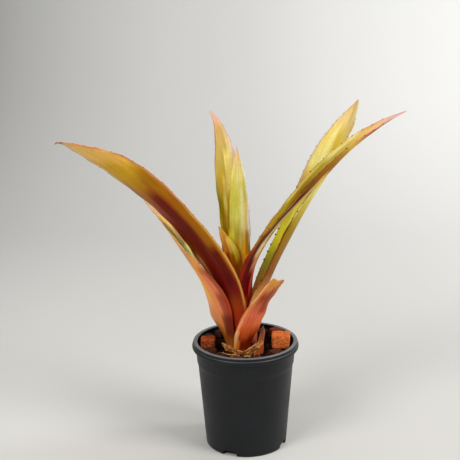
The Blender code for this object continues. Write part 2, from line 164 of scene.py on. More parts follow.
# %% [markdown]
# ## The studio
# A sheet of pale paper runs under the pot and sweeps up behind it, so there is no
# line between floor and wall. It could be two planes, but their corner would show;
# a quarter circle joins them instead. Two big soft boxes stand in front, left and
# right of the camera, and give the pair of faint shadows that run back from the
# pot. A third light washes the paper on the right, so that side glows.

# %% Paper sweep, world and lights
SWEEP_HALF_WIDTH = 2.4
FLOOR_FRONT = -1.6
FLOOR_BACK = 0.75
SWEEP_RADIUS = 0.9
WALL_TOP = 2.6

# Painted shade: tones from left to right, as (share of PAPER_WIDTH, hex), near the pot and at the wall;
# darker towards the far left and, near the pot, towards its right
PAPER_NEAR = ((0.30, "e0e0dd"), (0.52, "d2d2cf"), (0.72, "cdcdca"))
PAPER_FAR = ((0.03, "a8a8a6"), (0.12, "bebebc"), (0.22, "cdcdcb"), (0.36, "dadad8"), (0.52, "e0e0de"),
             (0.66, "ececea"), (0.80, "f2f2f0"), (0.97, "f6f6f4"))
PAPER_WIDTH = 1.2
PAPER_GRADE = (-0.3, 1.25)       # y where the near tones end and where the far ones start


def sweep_sheet():
    """Profile (y, z): flat floor, a quarter circle, then the wall, carried along x."""
    turn = np.linspace(0, math.pi / 2, 25)
    y = FLOOR_BACK + SWEEP_RADIUS * np.concatenate((np.sin(turn), [1.0]))
    y = np.concatenate(([FLOOR_FRONT], y))
    z = np.concatenate(([0.0], SWEEP_RADIUS * (1 - np.cos(turn)), [WALL_TOP]))
    x = np.linspace(-SWEEP_HALF_WIDTH, SWEEP_HALF_WIDTH, 3)
    return np.stack(np.broadcast_arrays(x[None, :], y[:, None], z[:, None]), -1)


def grid_faces(rows, columns, wrap=False):
    """Quads of a rows by columns grid; with wrap, the last column joins the first."""
    row, column = np.meshgrid(np.arange(rows - 1), np.arange(columns - (not wrap)), indexing="ij")
    here = row * columns + column
    right = row * columns + (column + 1) % columns
    return np.stack((here, right, right + columns, here + columns), -1).reshape(-1, 4)


def put_in_scene(name, body, *materials):
    """A smooth object at the origin from a body of (points, quads, triangles) arrays."""
    points, quads, triangles = body
    mesh = bpy.data.meshes.new(name)
    mesh.from_pydata(points.reshape(-1, 3), [], [*quads.tolist(), *triangles.tolist()])
    mesh.shade_smooth()
    for material in materials:
        mesh.materials.append(material)
    piece = bpy.data.objects.new(name, mesh)
    bpy.context.scene.collection.objects.link(piece)
    return piece


def paper_with_painted_shade():
    """Matt background paper whose colour holds painted shade: grey at the far left to near white at the
    far right.
    """
    material, tree, shader = new_material(
        "matt_background_paper", roughness=0.95, specular_ior_level=0.1)
    place = add(tree, "TexCoord")
    axes = add(tree, "SeparateXYZ", {"Vector": place.outputs["Object"]})
    aside = add(tree, "MapRange", {
        "Value": axes.outputs["X"], "From Min": -PAPER_WIDTH / 2, "From Max": PAPER_WIDTH / 2})
    back = add(tree, "MapRange", {
        "Value": axes.outputs["Y"], "From Min": PAPER_GRADE[0], "From Max": PAPER_GRADE[1]})
    near = add(tree, "ValToRGB", {"Fac": aside}, stops=PAPER_NEAR)
    far = add(tree, "ValToRGB", {"Fac": aside}, stops=PAPER_FAR)
    tone = add(tree, "Mix", {
        "Factor": back, "A": near, "B": far}, data_type="RGBA")
    feed(tree, shader, {"Base Color": tone.outputs["Result"]})
    return material


sweep_points = sweep_sheet()
paper = paper_with_painted_shade()
sweep_faces = grid_faces(*sweep_points.shape[:2])
sweep = put_in_scene("paper_sweep", (sweep_points, sweep_faces, np.zeros((0, 3), int)), paper)

SOFT_BOXES = (
    # name, place, aim, width and height in m, power in W, colour
    ("soft_box_left", (-0.95, -1.05, 1.25), (0.0, 0.1, 0.15), 0.75, 16.0, "fffaf2"),
    ("soft_box_right", (1.15, -0.75, 1.15), (0.0, 0.1, 0.15), 0.75, 15.0, "fffaf2"),
    ("paper_wash", (1.7, 0.35, 1.5), (0.9, 1.4, 0.5), 0.8, 16.0, "ffffff"),
)
for name, place, aim, size, power, colour in SOFT_BOXES:
    light = bpy.data.lights.new(name, "AREA")
    light.shape = "SQUARE"
    light.size = size
    light.energy = power
    light.color = to_linear(hex_srgb(colour))
    lamp = bpy.data.objects.new(name, light)
    lamp.location = place
    lamp.rotation_euler = (Vector(aim) - Vector(place)).to_track_quat("-Z", "Y").to_euler()
    bpy.context.scene.collection.objects.link(lamp)

WORLD_COLOUR = "e6e9ee"
WORLD_STRENGTH = 0.42
world = bpy.data.worlds.new("studio_air")
world.use_nodes = True
air = world.node_tree.nodes["Background"]
air.inputs["Color"].default_value = paint(WORLD_COLOUR)
air.inputs["Strength"].default_value = WORLD_STRENGTH
bpy.context.scene.world = world
print("studio:", len(SOFT_BOXES), "soft boxes on a sweep", round(2 * SWEEP_HALF_WIDTH, 1), "m wide")

# %% [markdown]
# ## How a strap leaf grows
# Every leaf is a sheath at the foot, which hugs the stem, and a long gutter-shaped
# blade. It could be sculpted by hand, but one rule makes them all: the midrib is
# followed upwards by its rise (angle above level) and its heading (compass angle),
# both given at six stations, and each cross-section is an arc of the blade's width
# bent through the curl, rolled about the midrib. The table is the growth table of
# the solid model, so each finished leaf lies exactly on its solid.

# %% The growth table


class Leaf(NamedTuple):
    """Angles in degrees, sizes in mm; the tuples run over the stations."""
    name: str
    length: float
    ring: int
    azimuth: float
    rise: tuple
    width: tuple
    heading: tuple
    roll: tuple
    curl: tuple


LEAVES = (
    Leaf("leaf_left_front", 313, 4, 208, (90, 83, 59, 48, 36, 19), (35, 44, 52, 52, 47, 1),
         (186, 170, 170, 209, 250), (27, 48, 46, 25, 0), (91, 64, 62, 59, 60)),
    Leaf("leaf_left_back", 183, 5, 166, (84, 72, 70, 56, 47, 25), (42, 46, 52, 41, 26, 1),
         (187, 175, 160, 140, 137), (18, 33, 29, 19, 3), (34, 74, 87, 79, 42)),
    Leaf("leaf_back_tall", 253, 2, 122, (84, 83, 84, 79, 66, 28), (16, 22, 23, 23, 22, 1),
         (112, 111, 110, 102, 120), (0, 0, -1, -11, -21), (98, 84, 66, 62, 56)),
    Leaf("leaf_back_inner", 208, 1, 107, (83, 85, 86, 86, 76, 57), (13, 17, 19, 23, 22, 1),
         (90, 93, 94, 92, 94), (1, -4, -8, -9, -4), (116, 104, 100, 100, 40)),
    Leaf("leaf_heart", 134, 0, 170, (89, 89, 90, 84, 75, 63), (9, 12, 15, 20, 25, 1),
         (172, 170, 166, 161, 150), (3, 2, -3, -10, -23), (130, 104, 78, 60, 33)),
    Leaf("leaf_right", 306, 3, -21, (91, 96, 72, 50, 45, 24), (26, 33, 43, 45, 26, 1),
         (-36, -27, -10, 7, 4), (5, 10, 2, 7, 40), (90, 98, 68, 185, 140)),
    Leaf("leaf_right_back", 288, 4, 34, (87, 77, 65, 59, 51, 28), (33, 48, 48, 46, 39, 1),
         (11, 16, 21, 46, 66), (-13, -14, -14, -4, 11), (136, 101, 118, 116, 87)),
    Leaf("leaf_cut_stub", 103, 6, -90, (82, 73, 69, 65, 56, 52), (22, 23, 27, 25, 20, 16),
         (-56, -54, -53, -34, -9), (2, -6, -12, -22, -43), (95, 77, 56, 20, 12)),
    Leaf("sheath_lobe", 37, 7, -42, (85, 81, 79, 79, 84, 92), (12, 14, 14, 12, 8, 2),
         (-42, -42, -42, -42, -42), (0, 0, 0, 0, 0), (45, 55, 60, 60, 40)),
)
STATIONS = np.array((0.0, 0.15, 0.30, 0.50, 0.75, 1.0))
CROWN = np.array((-2.0, 0.0, 91.7)) * MM
STEM_RADIUS = 3.2 * MM
SHEATH_GAP = 1.3 * MM
LEAF_THICKNESS = 1.0 * MM
LEAF_EDGE = 0.5 * MM


def ring_radius(ring):
    """Rings of sheaths stand a thickness and a gap apart; ring 0 is next to the stem."""
    return STEM_RADIUS + SHEATH_GAP / 2 + LEAF_THICKNESS / 2 + ring * (LEAF_THICKNESS + SHEATH_GAP)


def along_leaf(values, share):
    """Cubic Hermite curve through one value for each station, slopes by differences."""
    values = np.array(values, dtype=float)
    slopes = np.gradient(values, STATIONS)
    span = np.clip(np.searchsorted(STATIONS, share) - 1, 0, len(STATIONS) - 2)
    step = STATIONS[span + 1] - STATIONS[span]
    t = (share - STATIONS[span]) / step
    return (
        (2 * t**3 - 3 * t**2 + 1) * values[span]
        + (t**3 - 2 * t**2 + t) * step * slopes[span]
        + (3 * t**2 - 2 * t**3) * values[span + 1]
        + (t**3 - t**2) * step * slopes[span + 1]
    )


class Spine(NamedTuple):
    """The midrib of a leaf and the frame that its cross-sections lie in."""
    share: np.ndarray
    midrib: np.ndarray
    tangent: np.ndarray
    across: np.ndarray
    normal: np.ndarray
    width: np.ndarray
    curl: np.ndarray


def spine_of(leaf, rows):
    """Midrib = the running sum of (cos rise cos heading, cos rise sin heading, sin rise).

    Across is level and normal leans inwards; both are turned about the midrib by roll."""
    share = np.linspace(0, 1, rows)
    ring = ring_radius(leaf.ring)
    sheath_curl = math.degrees(leaf.width[0] * MM / ring)
    rise = np.radians(along_leaf(leaf.rise, share))
    heading = np.radians(along_leaf((leaf.azimuth, *leaf.heading), share))
    roll = np.radians(along_leaf((0, *leaf.roll), share))[:, None]
    width = along_leaf(leaf.width, share) * MM
    curl = np.radians(along_leaf((sheath_curl, *leaf.curl), share))
    out = np.stack((np.cos(heading), np.sin(heading), np.zeros(rows)), 1)
    up = np.array((0.0, 0.0, 1.0))
    tangent = np.cos(rise)[:, None] * out + np.sin(rise)[:, None] * up
    level = np.stack((-np.sin(heading), np.cos(heading), np.zeros(rows)), 1)
    inward = np.cos(rise)[:, None] * up - np.sin(rise)[:, None] * out
    midrib = np.zeros((rows, 3))
    midrib[1:] = np.cumsum((tangent[1:] + tangent[:-1]) / 2, 0) * leaf.length * MM / (rows - 1)
    azimuth = math.radians(leaf.azimuth)
    midrib += CROWN + ring * np.array((math.cos(azimuth), math.sin(azimuth), 0.0))
    across = np.cos(roll) * level + np.sin(roll) * inward
    normal = np.cos(roll) * inward - np.sin(roll) * level
    return Spine(share, midrib, tangent, across, normal, width, curl)


def on_blade(spine, u):
    """Points and inner-face normals where u runs from -1 at one margin to 1 at the other.

    Point = midrib + width / curl * (sin a * across + (1 - cos a) * normal), a = u curl / 2."""
    angle = (u * spine.curl[:, None] / 2)[..., None]
    bend = (spine.width / spine.curl)[:, None, None]
    across, normal = spine.across[:, None, :], spine.normal[:, None, :]
    points = spine.midrib[:, None, :] + bend * (np.sin(angle) * across + (1 - np.cos(angle)) * normal)
    normals = np.cos(angle) * normal - np.sin(angle) * across
    return points, normals


longest = max(LEAVES, key=lambda leaf: leaf.length)
print(len(LEAVES), "leaf pieces; the longest is", longest.name, "at", longest.length, "mm")

# %% [markdown]
# ## From a sheet to a leaf with two skins
# A real blade is about a millimetre thick in the middle and thins to a rounded
# margin. A Solidify modifier would give an even wall with square edges, so the
# section is drawn instead as one closed loop: along the inner face, round the
# margin, back along the outer face, and round the other margin. Small relief is
# added along the face: a keel over the midrib, two raised lines, and a light
# ruffle near the margins that fades out in the sheath, where leaves lie close.

# %% Skin of one leaf
FACE_COLUMNS = 57
CAP_ANGLES = np.radians((50, 0, -50))
RUFFLE = 0.45 * MM
RUFFLE_LENGTH = 27 * MM
KEEL = 0.35 * MM
LINE_RELIEF = 0.22 * MM
LINE_PLACES = (-0.46, -0.30)     # across the blade, from -1 to 1
LINE_BREADTH = 0.035
KEEL_BREADTH = 0.10
SWAY = 0.5 * MM
SWAY_LENGTH = 60 * MM
SHEATH_END = 0.18                # share of the leaf where relief starts
RELIEF_RISE = 0.3
RELIEF_FALL = 0.12


def smooth_step(x):
    """0 below 0, 1 above 1, and 3x^2 - 2x^3 between."""
    x = np.clip(x, 0, 1)
    return x * x * (3 - 2 * x)


def ripple(points, wavelength, seed, waves=9):
    """Even noise from -1 to 1: the mean of plane waves in seeded directions."""
    random = np.random.default_rng(seed)
    heading = random.normal(size=(waves, 3))
    heading /= np.linalg.norm(heading, axis=1, keepdims=True)
    pitch = 2 * math.pi / (wavelength * random.uniform(0.6, 1.6, waves))
    phase = random.uniform(0, 2 * math.pi, waves)
    wave = np.sin(points @ (heading * pitch[:, None]).T + phase)
    return wave.sum(-1) / math.sqrt(waves)


def section_loop():
    """u across the blade, and the offset outwards and along the normal, round the loop."""
    even = np.linspace(-1, 1, FACE_COLUMNS)
    u = 0.75 * even + 0.25 * np.sin(even * math.pi / 2)     # finer towards the margins
    cap = np.ones(len(CAP_ANGLES))
    loop_u = np.concatenate((u, cap, u[::-1], -cap))
    face = np.ones(FACE_COLUMNS)
    lift = np.concatenate((face, np.sin(CAP_ANGLES), -face, -np.sin(CAP_ANGLES)))
    reach = np.concatenate((0 * u, np.cos(CAP_ANGLES), 0 * u, np.cos(CAP_ANGLES)))
    return loop_u, lift, reach


LOOP_U, LOOP_LIFT, LOOP_REACH = section_loop()


def leaf_skin(leaf, spine, seed):
    """Closed loops of points along the spine: half the thickness to each side, plus relief."""
    rows = len(spine.share)
    share = spine.share[:, None]
    u = np.broadcast_to(LOOP_U, (rows, len(LOOP_U)))
    points, normals = on_blade(spine, u)
    fullness = (1 - u**2) * (1 - share**6)
    half = (LEAF_EDGE + (LEAF_THICKNESS - LEAF_EDGE) * fullness) / 2
    free = smooth_step((share - SHEATH_END) / RELIEF_RISE) * smooth_step((1 - share) / RELIEF_FALL)
    run = share * leaf.length * MM
    ruffle = RUFFLE * np.abs(u) ** 4 * np.sin(2 * math.pi * run / RUFFLE_LENGTH + 2.4 * u + seed)
    sway = SWAY * ripple(points, SWAY_LENGTH, seed)
    keel = -KEEL * np.exp(-(u / KEEL_BREADTH) ** 2)
    relief = free * (ruffle + sway + keel)
    lines = sum(np.exp(-((u - place) / LINE_BREADTH) ** 2) for place in LINE_PLACES)
    relief = relief - free * LINE_RELIEF * lines * (LOOP_LIFT < 0)
    outward = np.cross(normals, spine.tangent[:, None, :]) * -np.sign(u)[..., None]
    points = points + normals * (half * LOOP_LIFT + relief)[..., None]
    return points + outward * (LEAF_EDGE / 2 * LOOP_REACH)[None, :, None]


def close_tube(points):
    """Quads round the loops and a fan at each end, turned so that they face outwards."""
    rows, columns = points.shape[:2]
    quads = grid_faces(rows, columns, wrap=True)
    flat = points.reshape(-1, 3)
    flat = np.concatenate((flat, points[0].mean(0)[None], points[-1].mean(0)[None]))
    turn = np.arange(columns)
    nxt = (turn + 1) % columns
    foot = np.stack((nxt, turn, np.full(columns, rows * columns)), 1)
    last = (rows - 1) * columns
    tip = np.stack((last + turn, last + nxt, np.full(columns, rows * columns + 1)), 1)
    triangles = np.concatenate((foot, tip))
    if tube_volume(flat, quads, triangles) < 0:
        quads, triangles = quads[:, ::-1], triangles[:, ::-1]
    return flat, quads, triangles


def merged(*bodies):
    """One body from several, with the later ones' faces renumbered."""
    starts = np.cumsum([0] + [len(points) for points, _, _ in bodies])
    points, quads, triangles = zip(*bodies)
    return (np.concatenate(points),
            np.concatenate([faces + start for faces, start in zip(quads, starts)]),
            np.concatenate([faces + start for faces, start in zip(triangles, starts)]))


def tube_volume(points, quads, triangles):
    """Signed volume: a sixth of the sum of a . (b x c) over the triangles."""
    halves = np.concatenate((quads[:, (0, 1, 2)], quads[:, (0, 2, 3)], triangles))
    a, b, c = (points[halves[:, corner]] for corner in range(3))
    return float(np.einsum("ij,ij->i", a, np.cross(b, c)).sum() / 6)


test_leaf = LEAVES[0]
test_points = leaf_skin(test_leaf, spine_of(test_leaf, 60), 1)
print("a blade's section has", len(LOOP_U), "points; the skin holds",
      round(tube_volume(*close_tube(test_points)) * 1e6, 2), "cm3")

# %% [markdown]
# ## Thorns
# The margins carry small horny thorns that hook towards the tip. Each is a cone
# with six sides whose centre line bends forwards; all the thorns of a leaf are one
# array, so a leaf costs one calculation however many it has. They join the leaf's
# mesh, because on the plant they are part of the same skin.

# %% Thorns of one leaf
THORN_SIDES = 6
THORN_RINGS = 4
THORN_SINK = 0.35 * MM
THORN_BASE = 0.42        # base radius as a share of the length
THORN_HOOK = 0.55        # how far the tip leans forwards, as a share of the length
THORN_BLUNT = 0.96       # the cone stops just short of its point


class Thorns(NamedTuple):
    """Length and spacing in mm, and the shares of the leaf between which they stand."""
    length: float
    pitch: float
    start: float
    end: float


THORNS = {
    "leaf_left_front": Thorns(1.5, 12.5, 0.2, 0.93),
    "leaf_left_back": Thorns(1.2, 11.0, 0.45, 0.95),
    "leaf_back_tall": Thorns(0.9, 9.0, 0.45, 0.95),
    "leaf_back_inner": Thorns(0.9, 9.0, 0.5, 0.95),
    "leaf_right": Thorns(2.0, 9.4, 0.34, 0.92),
    "leaf_right_back": Thorns(2.0, 8.6, 0.24, 0.90),
}


def thorn_islands(leaf, spine, seed):
    """Ring radius = base (1 - t); centre = foot + length (t outwards + hook t^2 forwards)."""
    kind = THORNS[leaf.name]
    random = np.random.default_rng(seed)
    count = int((kind.end - kind.start) * leaf.length / kind.pitch)
    places = np.linspace(kind.start, kind.end, count)
    places = np.concatenate((places, places + 0.35 * kind.pitch / leaf.length))
    places = places + random.uniform(-0.2, 0.2, 2 * count) * kind.pitch / leaf.length
    margin = np.repeat((-1.0, 1.0), count)
    row = np.clip((places * (len(spine.share) - 1)).astype(int), 0, len(spine.share) - 1)
    edge, normals = on_blade(spine, np.broadcast_to((-1.0, 1.0), (len(spine.share), 2)))
    column = (margin > 0).astype(int)
    foot, normal, tangent = edge[row, column], normals[row, column], spine.tangent[row]
    outward = np.cross(normal, tangent) * -margin[:, None]
    length = kind.length * MM * random.uniform(0.75, 1.15, 2 * count) * (1.1 - 0.5 * places)
    t = np.linspace(0, THORN_BLUNT, THORN_RINGS)[None, :, None, None]
    size = length[:, None, None, None]
    outward, tangent, normal = (v[:, None, None, :] for v in (outward, tangent, normal))
    root = foot[:, None, None, :] - THORN_SINK * outward
    centre = root + size * (t * outward + THORN_HOOK * t**2 * tangent)
    turn = np.linspace(0, 2 * math.pi, THORN_SIDES, endpoint=False)[None, None, :, None]
    radius = THORN_BASE * size * (1 - t)
    return centre + radius * (np.cos(turn) * tangent * 1.3 + np.sin(turn) * normal * 0.7)


def islands_to_faces(rings):
    """Faces of many closed tubes at once: quads round each, and a fan at both ends."""
    count, rows, columns = rings.shape[:3]
    base = grid_faces(rows, columns, wrap=True)
    start = (np.arange(count) * rows * columns)[:, None, None]
    quads = (base[None] + start).reshape(-1, 4)
    corner = np.arange(2, columns)
    fan = np.stack((0 * corner, corner, corner - 1), 1)
    top = fan[:, ::-1] + (rows - 1) * columns
    triangles = (np.concatenate((fan, top))[None] + start).reshape(-1, 3)
    points = rings.reshape(-1, 3)
    if tube_volume(points, quads, triangles) < 0:
        quads, triangles = quads[:, ::-1], triangles[:, ::-1]
    return points, quads, triangles


test_rings = thorn_islands(test_leaf, spine_of(test_leaf, 200), 4)
print(len(test_rings), "thorns on", test_leaf.name)

# %% [markdown]
# ## Painting the leaves
# The colour of a blade drifts along its length and across it: dark wine at the
# foot of the outer face, olive and gold towards the tip, pale margins, and a pink
# bloom that is partly wax and partly a painted sheen. Image textures could hold
# that, but a picture can't be resized or read. Here each leaf is painted as a
# watercolour is: a ground colour that changes along the leaf, on the inner face and
# on the outer face, and then washes, which are soft-edged patches laid over it. The
# result is a colour on every vertex.

# %% Grounds and washes


class Wash(NamedTuple):
    """A soft patch: side is face, back or both; along, across and soft are shares."""
    side: str
    along: tuple
    across: tuple
    colour: str
    strength: float = 0.75
    soft: tuple = (0.05, 0.06)


class Paint(NamedTuple):
    """Ground colours as (share, hex) along each side, then the washes over them."""
    face: tuple
    back: tuple
    washes: tuple


def ground(stops, share):
    """The ground colour at each share, straight between the stops in sRGB."""
    places = [place for place, code in stops]
    colours = np.array([hex_srgb(code) for place, code in stops])
    return np.stack([np.interp(share, places, colours[:, channel]) for channel in range(3)], -1)


def window(x, low, high, soft):
    """1 between low and high, falling to 0 over a soft edge centred on each."""
    return smooth_step((x - low) / soft + 0.5) * smooth_step((high - x) / soft + 0.5)


def paint_blade(scheme, share, across, on_face):
    """Ground by side, then each wash mixed over by its window; given back as linear."""
    colour = np.where(on_face[..., None], ground(scheme.face, share), ground(scheme.back, share))
    for wash in scheme.washes:
        here = {"face": on_face, "back": ~on_face, "both": np.ones_like(on_face)}[wash.side]
        mask = window(share, *wash.along, wash.soft[0]) * window(across, *wash.across, wash.soft[1])
        mask = (mask * here * wash.strength)[..., None]
        colour = colour * (1 - mask) + hex_srgb(wash.colour) * mask
    return to_linear(colour)


